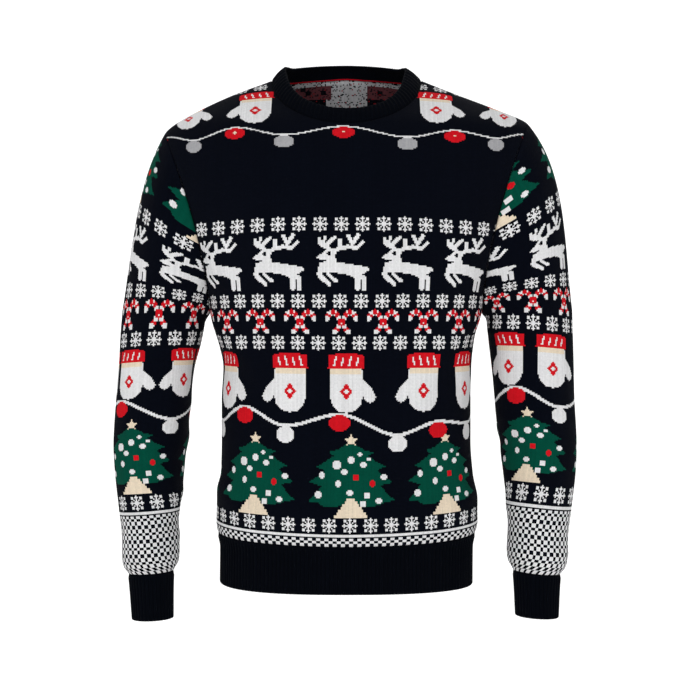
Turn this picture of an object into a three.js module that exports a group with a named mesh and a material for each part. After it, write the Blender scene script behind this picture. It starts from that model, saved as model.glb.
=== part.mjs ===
// A knitted crew-neck Christmas sweater, hollow and filled out as if worn, with nobody in it.
// Millimetres, +Z up. The front of the sweater faces -Y. The origin lies between the two
// points where the shoulder seams meet the neckband. "left" and "right" are the wearer's,
// so the left sleeve is on the +X side.
import * as THREE from "three";
import { mergeVertices } from "three/addons/utils/BufferGeometryUtils.js";

// Driving dimensions
const CLOTH = 2.6; // wall of the double knit
const RIB_CLOTH = 3.2; // wall of the ribbing in the valleys
const RIB_RISE = 0.9; // how far a rib stands out of its valley
const SEAM_GAP = 0.3; // room between two sewn pieces
const ARMPIT_Z = -312;
const HEM_SEAM_Z = -619; // where the body's knit meets its ribbing
const HEM_Z = -681; // bottom edge of the sweater at the centre
const HEM_SIDE_RISE = { left: 4, right: 7 }; // how much higher that edge lies at the side seams
const NECK_HALF = 101; // half width of the neck hole at the shoulder seams
const NECK_FRONT_Z = -69.5; // neck seam at the centre front
const NECK_BACK_Z = 11; // neck seam at the centre back
const SQUARENESS = 2.4; // exponent of the body's rounded-rectangle sections
const ARMHOLE_SWEEP = 1.65; // how late the armhole seam swings out to the shoulder
const ROUNDING = 0.85; // how far the columns follow the body's round sides below the armpit
const ROUNDING_HEIGHT = 110; // height above the armpit over which they straighten

// How finely the pieces are divided
const NECK_COLUMNS = 8;
const SHOULDER_COLUMNS = 6;
const SEAM_REACH = 0.7; // share of the half width beyond which rows follow the armhole's points
const COLUMNS = NECK_COLUMNS + SHOULDER_COLUMNS;
const BODY_ROWS = 13;
const ARMHOLE_ROWS = 12;
const CAP_RINGS = 9;
const SLEEVE_RINGS = 12;
const RIB_POINTS_PER_BODY_COLUMN = 6;
const RIB_POINTS_PER_NECK_COLUMN = 6;
const RIB_POINTS_PER_SLEEVE_COLUMN = 3;

// Sections of the body, from the neck down: front and back depth, and the seam line's place
const DEPTH = [
  { z: 11, front: 12, back: 62, seam: 8 },
  { z: 0, front: 20, back: 70, seam: 8 },
  { z: -10, front: 31, back: 77, seam: 8 },
  { z: -20, front: 46, back: 83, seam: 8 },
  { z: -38, front: 69, back: 90, seam: 8 },
  { z: -69, front: 100, back: 98, seam: 7 },
  { z: -110, front: 116, back: 105, seam: 5 },
  { z: -160, front: 123, back: 107, seam: 3 },
  { z: -210, front: 124, back: 104, seam: 1 },
  { z: -312, front: 118, back: 96, seam: 0 },
  { z: -367, front: 112, back: 91, seam: 0 },
  { z: -432, front: 108, back: 88, seam: 0 },
  { z: -500, front: 108, back: 91, seam: 0 },
  { z: -551, front: 113, back: 97, seam: 0 },
  { z: -594, front: 117, back: 102, seam: 0 },
  { z: -612, front: 113, back: 99, seam: 0 },
  { z: -628, front: 106, back: 93, seam: 0 },
  { z: -682, front: 107, back: 95, seam: 0 },
];

// Half width of the body's sections. Above the shoulder tip this is the shoulder seam.
const WIDTH = {
  left: [
    { z: 11, half: 75 },
    { z: 0, half: 101 },
    { z: -20.4, half: 151 },
    { z: -40.5, half: 202 },
    { z: -58.5, half: 243 },
    { z: -73, half: 259 },
    { z: -98, half: 266 },
    { z: -125, half: 258 },
    { z: -155, half: 241 },
    { z: -186, half: 224 },
    { z: -230, half: 205 },
    { z: -270, half: 192 },
    { z: -312, half: 181 },
    { z: -345, half: 173 },
    { z: -389, half: 168 },
    { z: -432, half: 167 },
    { z: -486, half: 167 },
    { z: -529, half: 170 },
    { z: -560, half: 175 },
    { z: -594, half: 176.5 },
    { z: -614, half: 172 },
    { z: -628, half: 169.5 },
    { z: -682, half: 169 },
  ],
  right: [
    { z: 11, half: 78 },
    { z: 0, half: 101 },
    { z: -18.8, half: 150 },
    { z: -40.4, half: 196 },
    { z: -58.5, half: 228 },
    { z: -71.5, half: 244 },
    { z: -90, half: 255 },
    { z: -112, half: 259 },
    { z: -150, half: 243 },
    { z: -186, half: 225 },
    { z: -230, half: 206 },
    { z: -270, half: 193 },
    { z: -312, half: 183 },
    { z: -345, half: 175 },
    { z: -389, half: 166 },
    { z: -432, half: 168 },
    { z: -486, half: 168 },
    { z: -529, half: 169 },
    { z: -551, half: 173 },
    { z: -594, half: 175 },
    { z: -614, half: 172 },
    { z: -628, half: 169.5 },
    { z: -682, half: 170 },
  ],
};
const SHOULDER_TIP_Z = { left: -58.5, right: -71.5 };

// Rings of the sleeves: centre, half width across, half depth, and the tilt of the ring
const SLEEVE = {
  left: [
    { z: -318, x: 247, y: 2, across: 58, deep: 61, tilt: 7 },
    { z: -346, x: 248.6, y: 1, across: 57, deep: 60, tilt: 6 },
    { z: -389, x: 251.3, y: -2, across: 55, deep: 58, tilt: 5 },
    { z: -432, x: 253.4, y: -5, across: 53.4, deep: 56, tilt: 3 },
    { z: -486, x: 257.2, y: -9, across: 52, deep: 54, tilt: 1 },
    { z: -529, x: 258.8, y: -12, across: 48.6, deep: 51, tilt: -2 },
    { z: -572, x: 258.2, y: -15, across: 43.6, deep: 47, tilt: -5 },
    { z: -610, x: 256.4, y: -18, across: 40.6, deep: 44, tilt: -6 },
    { z: -634, x: 255.4, y: -19, across: 41, deep: 43, tilt: -6 },
    { z: -649, x: 255, y: -20, across: 39, deep: 40, tilt: -6 },
    { z: -661, x: 254.6, y: -21, across: 32, deep: 34.5, tilt: -5 },
    { z: -723, x: 254.4, y: -25, across: 28.2, deep: 31, tilt: -3 },
  ],
  right: [
    { z: -320, x: 247, y: 2, across: 56, deep: 60, tilt: 9 },
    { z: -346, x: 250.4, y: 1, across: 54.6, deep: 60, tilt: 8 },
    { z: -389, x: 256.4, y: -2, across: 50.6, deep: 58, tilt: 5 },
    { z: -432, x: 260, y: -5, across: 50, deep: 56, tilt: 4 },
    { z: -486, x: 263.4, y: -9, across: 49.6, deep: 54, tilt: 1 },
    { z: -529, x: 264.4, y: -12, across: 46.2, deep: 51, tilt: -1 },
    { z: -572, x: 264, y: -15, across: 41.4, deep: 47, tilt: -4 },
    { z: -610, x: 263.2, y: -18, across: 37.8, deep: 44, tilt: -6 },
    { z: -636, x: 262, y: -20, across: 38.6, deep: 42, tilt: -5 },
    { z: -650, x: 261.6, y: -21, across: 36.8, deep: 39.5, tilt: -5 },
    { z: -661, x: 261.4, y: -21, across: 30.4, deep: 33.5, tilt: -4 },
    { z: -725, x: 258.8, y: -25, across: 27, deep: 30, tilt: -2 },
  ],
};
// How steeply the sleeve's cloth leaves the armhole seam: at each shoulder tip, at the middle
// of the front and back, and at the armpit
const LEAVING = {
  left: { out: 0.66, down: 0.75 },
  right: { out: 0.5, down: 0.87 },
  middle: { out: 0.72, down: 0.68, bow: 0.12 },
  armpit: { out: 0.3, down: 0.95 },
};
const CAP_PULL = { start: 0.95, end: 1.05 }; // how strongly the sleeve head keeps its end slopes
const SLEEVE_END_Z = -661;
const CUFF_Z = { left: -720, right: -723 };

// The neckband: how far its top edge lies in and up from the neck seam
const NECKBAND = {
  front: { inward: 8, up: 21 },
  left: { inward: 22, up: 17 },
  right: { inward: 18.5, up: 18.5 },
  back: { inward: 5, up: 19 },
  cloth: 3.6,
  bow: 1.6, // how far it stands out half-way up
};
const NECK_SIDE_TILT = 0.4; // how steeply it leaves the shoulder seam, in radians
const NECK_CENTRE_Y = -12; // middle of the neck hole, front to back

// Soft folds: a ridge (or, with a negative rise, a trough) between two points of a piece
const FOLD_FADE = 30; // depth over which a fold of the body fades out towards the side seam
const FOLD_START = 0.28; // how soon a fold is at its highest: 0.5 is at its first point
const BODY_FOLDS = [
  { face: -1, side: 1, x1: 176, z1: -318, x2: 96, z2: -392, wide: 15, rise: 3.2 },
  { face: -1, side: -1, x1: 178, z1: -322, x2: 104, z2: -404, wide: 15, rise: 3.0 },
  { face: -1, side: 1, x1: 168, z1: -352, x2: 112, z2: -430, wide: 14, rise: -2.4 },
  { face: -1, side: -1, x1: 168, z1: -356, x2: 118, z2: -438, wide: 14, rise: -2.2 },
  { face: -1, side: 1, x1: 172, z1: -560, x2: 92, z2: -592, wide: 16, rise: 2.6 },
  { face: -1, side: -1, x1: 170, z1: -548, x2: 98, z2: -596, wide: 16, rise: 2.8 },
  { face: 1, side: 1, x1: 174, z1: -322, x2: 80, z2: -380, wide: 17, rise: 3.4 },
  { face: 1, side: -1, x1: 176, z1: -326, x2: 72, z2: -396, wide: 17, rise: 3.2 },
  { face: 1, side: 1, x1: 164, z1: -430, x2: 30, z2: -452, wide: 18, rise: 3.0 },
  { face: 1, side: -1, x1: 166, z1: -446, x2: 24, z2: -470, wide: 16, rise: 2.6 },
  { face: 1, side: 1, x1: 168, z1: -556, x2: 76, z2: -590, wide: 16, rise: 2.6 },
];
// On a sleeve a fold runs round the arm: "turn" is measured from the outer line, front first
const SLEEVE_FOLDS = {
  left: [
    { turn1: 95, z1: -352, turn2: 185, z2: -330, wide: 11, rise: 3.2 },
    { turn1: 100, z1: -470, turn2: 190, z2: -442, wide: 12, rise: 2.8 },
    { turn1: 120, z1: -500, turn2: 215, z2: -482, wide: 11, rise: -2.4 },
    { turn1: 200, z1: -470, turn2: 290, z2: -496, wide: 13, rise: 3.0 },
    { turn1: 110, z1: -590, turn2: 205, z2: -566, wide: 11, rise: 2.4 },
    { turn1: 20, z1: -634, turn2: 120, z2: -648, wide: 9, rise: 1.8 },
  ],
  right: [
    { turn1: 90, z1: -356, turn2: 185, z2: -334, wide: 11, rise: 3.2 },
    { turn1: 110, z1: -452, turn2: 200, z2: -430, wide: 12, rise: 2.6 },
    { turn1: 100, z1: -520, turn2: 200, z2: -502, wide: 12, rise: -2.6 },
    { turn1: 195, z1: -480, turn2: 285, z2: -508, wide: 13, rise: 3.0 },
    { turn1: 130, z1: -566, turn2: 215, z2: -548, wide: 10, rise: 2.6 },
    { turn1: 140, z1: -618, turn2: 220, z2: -604, wide: 10, rise: 2.4 },
  ],
};

const SIGN = { left: 1, right: -1 };
const FRONT = -1;
const BACK = 1;
const RADIANS = Math.PI / 180;
const NUDGE = 0.5; // distance over which a slope is measured
const clamp01 = (v) => Math.min(1, Math.max(0, v));
const blend = (a, b, t) => a + (b - a) * t;
const ease = (v) => clamp01(v) ** 2 * (3 - 2 * clamp01(v));

// A smooth curve through one column of a table whose rows go down in z. It never overshoots.
function column(rows, name) {
  const at = rows.map((row) => -row.z);
  const value = rows.map((row) => row[name]);
  const slope = at.slice(1).map((a, i) => (value[i + 1] - value[i]) / (a - at[i]));
  const tangent = value.map((_, i) => {
    if (i === 0) return slope[0];
    if (i === value.length - 1) return slope[i - 1];
    const [before, after] = [slope[i - 1], slope[i]];
    return before * after <= 0 ? 0 : (2 * before * after) / (before + after);
  });
  return (z) => {
    const a = Math.min(at[at.length - 1], Math.max(at[0], -z));
    let i = 0;
    while (i < at.length - 2 && a > at[i + 1]) i += 1;
    const h = at[i + 1] - at[i];
    const t = (a - at[i]) / h;
    return (
      value[i] * (1 + 2 * t) * (1 - t) ** 2 +
      tangent[i] * h * t * (1 - t) ** 2 +
      value[i + 1] * t * t * (3 - 2 * t) +
      tangent[i + 1] * h * t * t * (t - 1)
    );
  };
}

const depthOf = { [FRONT]: column(DEPTH, "front"), [BACK]: column(DEPTH, "back") };
const seamY = column(DEPTH, "seam");
const halfWidth = { left: column(WIDTH.left, "half"), right: column(WIDTH.right, "half") };

// How high a point of the armhole lies between the armpit (0) and the shoulder tip (1)
const armholeShare = (side, z) => clamp01((z - ARMPIT_Z) / (SHOULDER_TIP_Z[side] - ARMPIT_Z));

// x of the side seam, the armhole seam or, above the shoulder tip, the tip itself
function edgeX(side, z) {
  if (z <= ARMPIT_Z) return halfWidth[side](z);
  const low = halfWidth[side](ARMPIT_Z);
  const high = halfWidth[side](SHOULDER_TIP_Z[side]);
  return blend(low, high, armholeShare(side, z) ** ARMHOLE_SWEEP);
}

// x of a column that lies at share g of the way from the centre to the edge
function columnX(side, g, z) {
  const round = blend(g, Math.sin((g * Math.PI) / 2), ROUNDING);
  const flat = ease((z - ARMPIT_Z) / ROUNDING_HEIGHT);
  return edgeX(side, z) * blend(round, g, flat);
}

// z of the shoulder seam above a place x
function ridgeZ(side, x) {
  let [low, high] = [SHOULDER_TIP_Z[side], NECK_BACK_Z];
  for (let i = 0; i < 40; i += 1) {
    const middle = (low + high) / 2;
    if (halfWidth[side](middle) > x) low = middle;
    else high = middle;
  }
  return (low + high) / 2;
}

// z of the top edge of a panel above a place x: the neckline, and then the shoulder seam
function topZ(side, face, x) {
  if (x >= NECK_HALF) return ridgeZ(side, x);
  const share = x / NECK_HALF;
  return face === FRONT ? NECK_FRONT_Z * Math.sqrt(1 - share ** 2) : NECK_BACK_Z * (1 - share ** 2);
}

// Distance from a point to a fold's line, and the fold's height there
function foldRise(u, v, u1, v1, u2, v2, wide, rise) {
  const [du, dv] = [u2 - u1, v2 - v1];
  const along = clamp01(((u - u1) * du + (v - v1) * dv) / (du * du + dv * dv));
  const away = Math.hypot(u - u1 - along * du, v - v1 - along * dv);
  const fade = Math.sin(Math.PI * blend(FOLD_START, 1, along));
  return rise * fade * Math.exp(-((away / wide) ** 2));
}

function bodyFolds(side, face, x, z) {
  let sum = 0;
  for (const f of BODY_FOLDS) {
    if (f.face !== face || f.side !== SIGN[side]) continue;
    sum += foldRise(x, z, f.x1, f.z1, f.x2, f.z2, f.wide, f.rise);
  }
  return sum;
}

// The body's section is |x/w|^n + |y/d|^n = 1. This is how far outside it a point lies.
function outside(side, face, x, y, z) {
  const across = Math.abs(x / halfWidth[side](z)) ** SQUARENESS;
  const along = Math.abs((y - seamY(z)) / depthOf[face](z)) ** SQUARENESS;
  return across + along - 1;
}

// A point on the body's outer surface, and the direction that points out of the cloth there
function bodyPoint(side, face, x, z) {
  const reach = Math.max(0, 1 - (x / halfWidth[side](z)) ** SQUARENESS) ** (1 / SQUARENESS);
  const deep = Math.max(SEAM_GAP / 2, depthOf[face](z) * reach);
  const y = seamY(z) + face * deep;
  const normal = new THREE.Vector3(
    outside(side, face, x + NUDGE, y, z) - outside(side, face, x - NUDGE, y, z),
    outside(side, face, x, y + NUDGE, z) - outside(side, face, x, y - NUDGE, z),
    outside(side, face, x, y, z + NUDGE) - outside(side, face, x, y, z - NUDGE),
  );
  if (x < NUDGE) normal.x = 0;
  normal.x *= SIGN[side];
  normal.normalize();
  const point = new THREE.Vector3(SIGN[side] * x, y, z);
  point.addScaledVector(normal, bodyFolds(side, face, x, z) * ease(deep / FOLD_FADE));
  return { point, normal };
}

// Heights along the armhole, an equal length of seam apart
function armholeHeights(side, face) {
  const tip = SHOULDER_TIP_Z[side];
  const steps = 400; // fine enough to measure the seam's length
  const z = [];
  const length = [0];
  let last = null;
  for (let i = 0; i <= steps; i += 1) {
    z.push(blend(ARMPIT_Z, tip, (1 - Math.cos((Math.PI * i) / steps)) / 2));
    const { point } = bodyPoint(side, face, edgeX(side, z[i]), z[i]);
    if (last) length.push(length[i - 1] + point.distanceTo(last));
    last = point;
  }
  const heights = [];
  for (let j = 0; j <= ARMHOLE_ROWS; j += 1) {
    const wanted = (length[steps] * j) / ARMHOLE_ROWS;
    let i = 0;
    while (i < steps - 1 && length[i + 1] < wanted) i += 1;
    heights.push(blend(z[i], z[i + 1], (wanted - length[i]) / (length[i + 1] - length[i])));
  }
  heights[0] = ARMPIT_Z;
  heights[ARMHOLE_ROWS] = tip;
  return heights;
}
const ARMHOLE = {};
for (const side of ["left", "right"]) {
  ARMHOLE[side] = { [FRONT]: armholeHeights(side, FRONT), [BACK]: armholeHeights(side, BACK) };
}

// Share of the way to the edge of a column at the panel's top: even along the neckline, and
// then even along the shoulder
function topShare(side, face, i) {
  const neck = NECK_HALF / halfWidth[side](SHOULDER_TIP_Z[side]);
  if (i > NECK_COLUMNS) return blend(neck, 1, (i - NECK_COLUMNS) / SHOULDER_COLUMNS);
  const share = i / NECK_COLUMNS;
  return neck * (face === FRONT ? Math.sin((Math.PI / 2) * share) : share);
}

// The same share at row j: even columns below, which spread out to the neck and shoulder
function columnShare(side, face, i, j) {
  const lift = ease((j - BODY_ROWS) / ARMHOLE_ROWS);
  return blend(i / COLUMNS, topShare(side, face, i), lift);
}

// Height of row j in column i: level up to the armpit, then shared out up to the top edge
function rowZ(side, face, i, j) {
  if (j <= BODY_ROWS) return blend(HEM_SEAM_Z + SEAM_GAP, ARMPIT_Z, j / BODY_ROWS);
  const g = topShare(side, face, i);
  const k = j - BODY_ROWS;
  const tip = halfWidth[side](SHOULDER_TIP_Z[side]);
  const top = topZ(side, face, g * tip);
  const even = k / ARMHOLE_ROWS;
  const seamed = armholeShare(side, ARMHOLE[side][face][k]);
  return blend(ARMPIT_Z, top, blend(even, seamed, ease((g - SEAM_REACH) / (1 - SEAM_REACH))));
}

// One panel: outer points and wall directions in rows, from the right seam to the left seam
function panelGrid(face) {
  const rows = [];
  for (let j = 0; j <= BODY_ROWS + ARMHOLE_ROWS; j += 1) {
    const row = [];
    for (let c = -COLUMNS; c <= COLUMNS; c += 1) {
      const side = c < 0 ? "right" : "left";
      const i = Math.abs(c);
      const z = rowZ(side, face, i, j);
      row.push(bodyPoint(side, face, columnX(side, columnShare(side, face, i, j), z), z));
    }
    rows.push(row);
  }
  return rows;
}

// Direction that leads out of a panel across its edge, in the cloth's own surface
function outOfPanel(vertex, before, after, inside) {
  const along = new THREE.Vector3().subVectors(after, before);
  const out = new THREE.Vector3().crossVectors(vertex.normal, along).normalize();
  const back = new THREE.Vector3().subVectors(inside, vertex.point);
  return out.dot(back) > 0 ? out.negate() : out;
}

const triangle = (list, a, b, c) => list.push(a.x, a.y, a.z, b.x, b.y, b.z, c.x, c.y, c.z);

// The faces of a grid of points, each cell split along its shorter diagonal. A closed grid
// joins its last column to its first.
function gridFaces(list, rows, closed, flipped) {
  const count = rows[0].length;
  for (let r = 0; r < rows.length - 1; r += 1) {
    for (let c = 0; c < (closed ? count : count - 1); c += 1) {
      const d = (c + 1) % count;
      let [p, q, s, t] = [rows[r][c], rows[r][d], rows[r + 1][d], rows[r + 1][c]];
      if (q.distanceTo(t) < p.distanceTo(s)) [p, q, s, t] = [q, s, t, p];
      if (flipped) {
        triangle(list, p, s, q);
        triangle(list, p, t, s);
      } else {
        triangle(list, p, q, s);
        triangle(list, p, s, t);
      }
    }
  }
}

// The strip of cloth edge between an outer line and an inner line, where each stretch of the
// inner line faces the same number of points of the outer one. Each stretch is split along
// its shorter diagonal, so that two sewn pieces have the same edge and keep their gap.
function edgeFaces(list, outer, inner) {
  const parts = (outer.length - 1) / (inner.length - 1);
  for (let j = 0; j < inner.length - 1; j += 1) {
    const from = j * parts;
    const to = from + parts;
    const fan = outer[to].distanceTo(inner[j]) <= outer[from].distanceTo(inner[j + 1]) ? j : j + 1;
    for (let i = from; i < to; i += 1) triangle(list, outer[i + 1], outer[i], inner[fan]);
    triangle(list, inner[j], inner[j + 1], outer[fan === j ? to : from]);
  }
}

// A wall of cloth as one closed solid, from the points of its outer and its inner face
function wall(name, outer, inner, closed, material) {
  const list = [];
  gridFaces(list, outer, closed, false);
  gridFaces(list, inner, closed, true);
  const ring = (row) => (closed ? [...row, row[0]] : row);
  const end = (rows, c) => rows.map((row) => row[c < 0 ? row.length - 1 : 0]);
  const [lastOuter, lastInner] = [outer[outer.length - 1], inner[inner.length - 1]];
  edgeFaces(list, ring(outer[0]), ring(inner[0]));
  edgeFaces(list, ring(lastOuter).slice().reverse(), ring(lastInner).slice().reverse());
  if (!closed) {
    edgeFaces(list, end(outer, -1), end(inner, -1));
    edgeFaces(list, end(outer, 0).reverse(), end(inner, 0).reverse());
  }
  let volume = 0;
  const [a, b, c] = [new THREE.Vector3(), new THREE.Vector3(), new THREE.Vector3()];
  for (let i = 0; i < list.length; i += 9) {
    a.fromArray(list, i);
    b.fromArray(list, i + 3);
    c.fromArray(list, i + 6);
    volume += a.dot(b.cross(c));
  }
  if (volume < 0) {
    for (let i = 0; i < list.length; i += 9) {
      for (let k = 0; k < 3; k += 1) {
        [list[i + 3 + k], list[i + 6 + k]] = [list[i + 6 + k], list[i + 3 + k]];
      }
    }
  }
  const geometry = new THREE.BufferGeometry();
  geometry.setAttribute("position", new THREE.Float32BufferAttribute(list, 3));
  const mesh = new THREE.Mesh(mergeVertices(geometry, 1e-4), material);
  mesh.geometry.computeVertexNormals();
  mesh.name = name;
  return mesh;
}

const inward = (vertex, thick) => vertex.point.clone().addScaledVector(vertex.normal, -thick);

// A row of points with more points set evenly between each two
function divided(points, parts, closed) {
  const result = [];
  const count = closed ? points.length : points.length - 1;
  for (let i = 0; i < count; i += 1) {
    const next = points[(i + 1) % points.length];
    for (let k = 0; k < parts; k += 1) result.push(points[i].clone().lerp(next, k / parts));
  }
  if (!closed) result.push(points[points.length - 1].clone());
  return result;
}

// A band of ribbing: rows of vertices from its seam to its free edge. Ribs rise on every
// second point of the outer face, but not at the seam; the inner face is plain.
function ribbedBand(name, rows, parts, closed, material) {
  const outer = rows.map((row, r) => {
    const points = divided(row.map((v) => v.point), parts, closed);
    const normals = divided(row.map((v) => v.normal), parts, closed);
    return points.map((p, c) => p.addScaledVector(normals[c], r > 0 && c % 2 ? RIB_RISE : 0));
  });
  const inner = rows.map((row) => row.map((v) => inward(v, v.thick)));
  return wall(name, outer, inner, closed, material);
}

const KNIT_NAVY = new THREE.MeshStandardMaterial({ color: 0x0b0f1c, roughness: 0.95 });
const RIB_NAVY = new THREE.MeshStandardMaterial({ color: 0x06080f, roughness: 0.97 });

// Front and back
const panels = { [FRONT]: panelGrid(FRONT), [BACK]: panelGrid(BACK) };
function panel(name, face) {
  const rows = panels[face];
  const outer = rows.map((row) => row.map((v) => v.point));
  const inner = rows.map((row) => row.map((v) => inward(v, CLOTH)));
  return wall(name, outer, inner, false, KNIT_NAVY);
}

// Hem ribbing, one band for the front and one for the back
function hemBand(name, face) {
  const seam = panels[face][0];
  const rows = [
    seam.map((v) => ({ ...v, point: v.point.clone().setZ(HEM_SEAM_Z), thick: CLOTH })),
  ];
  for (const share of [0.14, 0.5, 1]) {
    const row = [];
    for (let c = -COLUMNS; c <= COLUMNS; c += 1) {
      const side = c < 0 ? "right" : "left";
      const g = Math.abs(c) / COLUMNS;
      const z = blend(HEM_SEAM_Z, HEM_Z + HEM_SIDE_RISE[side] * g ** 3, share);
      row.push({ ...bodyPoint(side, face, columnX(side, g, z), z), thick: RIB_CLOTH });
    }
    rows.push(row);
  }
  return ribbedBand(name, rows, RIB_POINTS_PER_BODY_COLUMN, false, RIB_NAVY);
}

// The neck edge of one panel, from the right shoulder to the left. "turn" is 0 at the centre.
function neckEdge(face) {
  const [top, below] = [panels[face].at(-1), panels[face].at(-2)];
  const [first, last] = [COLUMNS - NECK_COLUMNS, COLUMNS + NECK_COLUMNS];
  const edge = [];
  for (let c = first; c <= last; c += 1) {
    const before = top[Math.max(first, c - 1)].point;
    const after = top[Math.min(last, c + 1)].point;
    const out = outOfPanel(top[c], before, after, below[c].point);
    edge.push({ ...top[c], out, face, turn: ((c - COLUMNS) / NECK_COLUMNS) * (Math.PI / 2) });
  }
  return edge;
}

// The neck seam as one closed loop: across the front, then back across the back panel. The
// two panels' points at a shoulder seam become one.
function neckLoop() {
  const front = neckEdge(FRONT);
  for (const v of [front[0], front.at(-1)]) {
    v.point = v.point.clone().setY(seamY(0));
    v.out = new THREE.Vector3(-Math.sign(v.point.x) * Math.cos(NECK_SIDE_TILT), 0, Math.sin(NECK_SIDE_TILT));
  }
  return [...front, ...neckEdge(BACK).slice(1, -1).reverse()];
}

// The neckband: four rows, from the seam to the top edge, that bow out a little on the way
function neckband(name) {
  const rows = [[], [], [], []];
  for (const v of neckLoop()) {
    const middle = v.face === FRONT ? NECKBAND.front : NECKBAND.back;
    const flank = v.point.x > 0 ? NECKBAND.left : NECKBAND.right;
    const sideways = Math.abs(Math.sin(v.turn)) ** 1.6;
    const toCentre = new THREE.Vector3(-v.point.x, NECK_CENTRE_Y - v.point.y, 0).normalize();
    const rise = toCentre.clone().multiplyScalar(blend(middle.inward, flank.inward, sideways));
    rise.z = blend(middle.up, flank.up, sideways);
    const normal = new THREE.Vector3(0, 0, 1).cross(toCentre).cross(rise).normalize();
    if (normal.dot(toCentre) > 0) normal.negate();
    const start = v.point.clone().addScaledVector(v.out, SEAM_GAP);
    const at = (share, leave, bow) =>
      start.clone().addScaledVector(rise, share).addScaledVector(v.out, leave).addScaledVector(normal, bow);
    rows[0].push({ point: start, normal: v.normal, thick: CLOTH });
    rows[1].push({ point: at(0.2, 0.8, NECKBAND.bow / 2), normal, thick: NECKBAND.cloth });
    rows[2].push({ point: at(0.62, 0, NECKBAND.bow), normal, thick: NECKBAND.cloth });
    rows[3].push({ point: at(1, 0, 0), normal, thick: NECKBAND.cloth });
  }
  return ribbedBand(name, rows, RIB_POINTS_PER_NECK_COLUMN, true, RIB_NAVY);
}

// A ring of a sleeve at height z: 24 points, from the outer line round by the front
function sleeveRing(side, z) {
  const at = Object.fromEntries(
    ["x", "y", "across", "deep", "tilt"].map((name) => [name, column(SLEEVE[side], name)(z)]),
  );
  const ring = [];
  for (let k = 0; k < 2 * ARMHOLE_ROWS; k += 1) {
    const turn = (Math.PI * k) / ARMHOLE_ROWS;
    const out = at.across * Math.cos(turn);
    const lift = Math.sin(at.tilt * RADIANS) * out;
    const x = at.x + Math.cos(at.tilt * RADIANS) * out;
    ring.push(new THREE.Vector3(SIGN[side] * x, at.y - at.deep * Math.sin(turn), z + lift));
  }
  return ring;
}

// The armhole seam as a ring of the same 24 points, with the wall's direction at each
function armholeRing(side) {
  const ring = [];
  const edge = (face, j) => {
    const row = panels[face][BODY_ROWS + j];
    const c = side === "left" ? row.length - 1 : 0;
    const step = side === "left" ? -1 : 1;
    return { vertex: row[c], inside: row[c + step].point };
  };
  for (let k = 0; k < 2 * ARMHOLE_ROWS; k += 1) {
    const face = k <= ARMHOLE_ROWS ? FRONT : BACK;
    const j = k <= ARMHOLE_ROWS ? ARMHOLE_ROWS - k : k - ARMHOLE_ROWS;
    const { vertex, inside } = edge(face, j);
    const above = edge(face, Math.min(ARMHOLE_ROWS, j + 1)).vertex.point;
    const below = edge(face, Math.max(0, j - 1)).vertex.point;
    const out = outOfPanel(vertex, below, above, inside);
    const point = vertex.point.clone();
    if (j === 0) out.set(0, 0, 1);
    if (j === ARMHOLE_ROWS) {
      const level = new THREE.Vector3(vertex.normal.z * SIGN[side], 0, -Math.abs(vertex.normal.x));
      out.copy(level.normalize());
    }
    if (j === 0 || j === ARMHOLE_ROWS) point.setY(seamY(point.z));
    ring.push({ point, normal: vertex.normal.clone(), out });
  }
  return ring;
}

// The way a sleeve's cloth leaves the armhole seam, at a turn round the arm
function leaving(side, turn) {
  const share = Math.cos(turn);
  const end = share > 0 ? LEAVING[side] : LEAVING.armpit;
  const { out, down, bow } = LEAVING.middle;
  const way = new THREE.Vector3(out, -bow * Math.sin(turn), -down);
  way.lerp(new THREE.Vector3(end.out, 0, -end.down), Math.abs(share));
  way.x *= SIGN[side];
  return way.normalize();
}

function sleeveFolds(side, turn, z) {
  const round = turn / RADIANS; // one degree round the arm is about one millimetre of cloth
  let sum = 0;
  for (const f of SLEEVE_FOLDS[side]) {
    sum += foldRise(round, z, f.turn1, f.z1, f.turn2, f.z2, f.wide, f.rise);
  }
  return sum;
}

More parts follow.
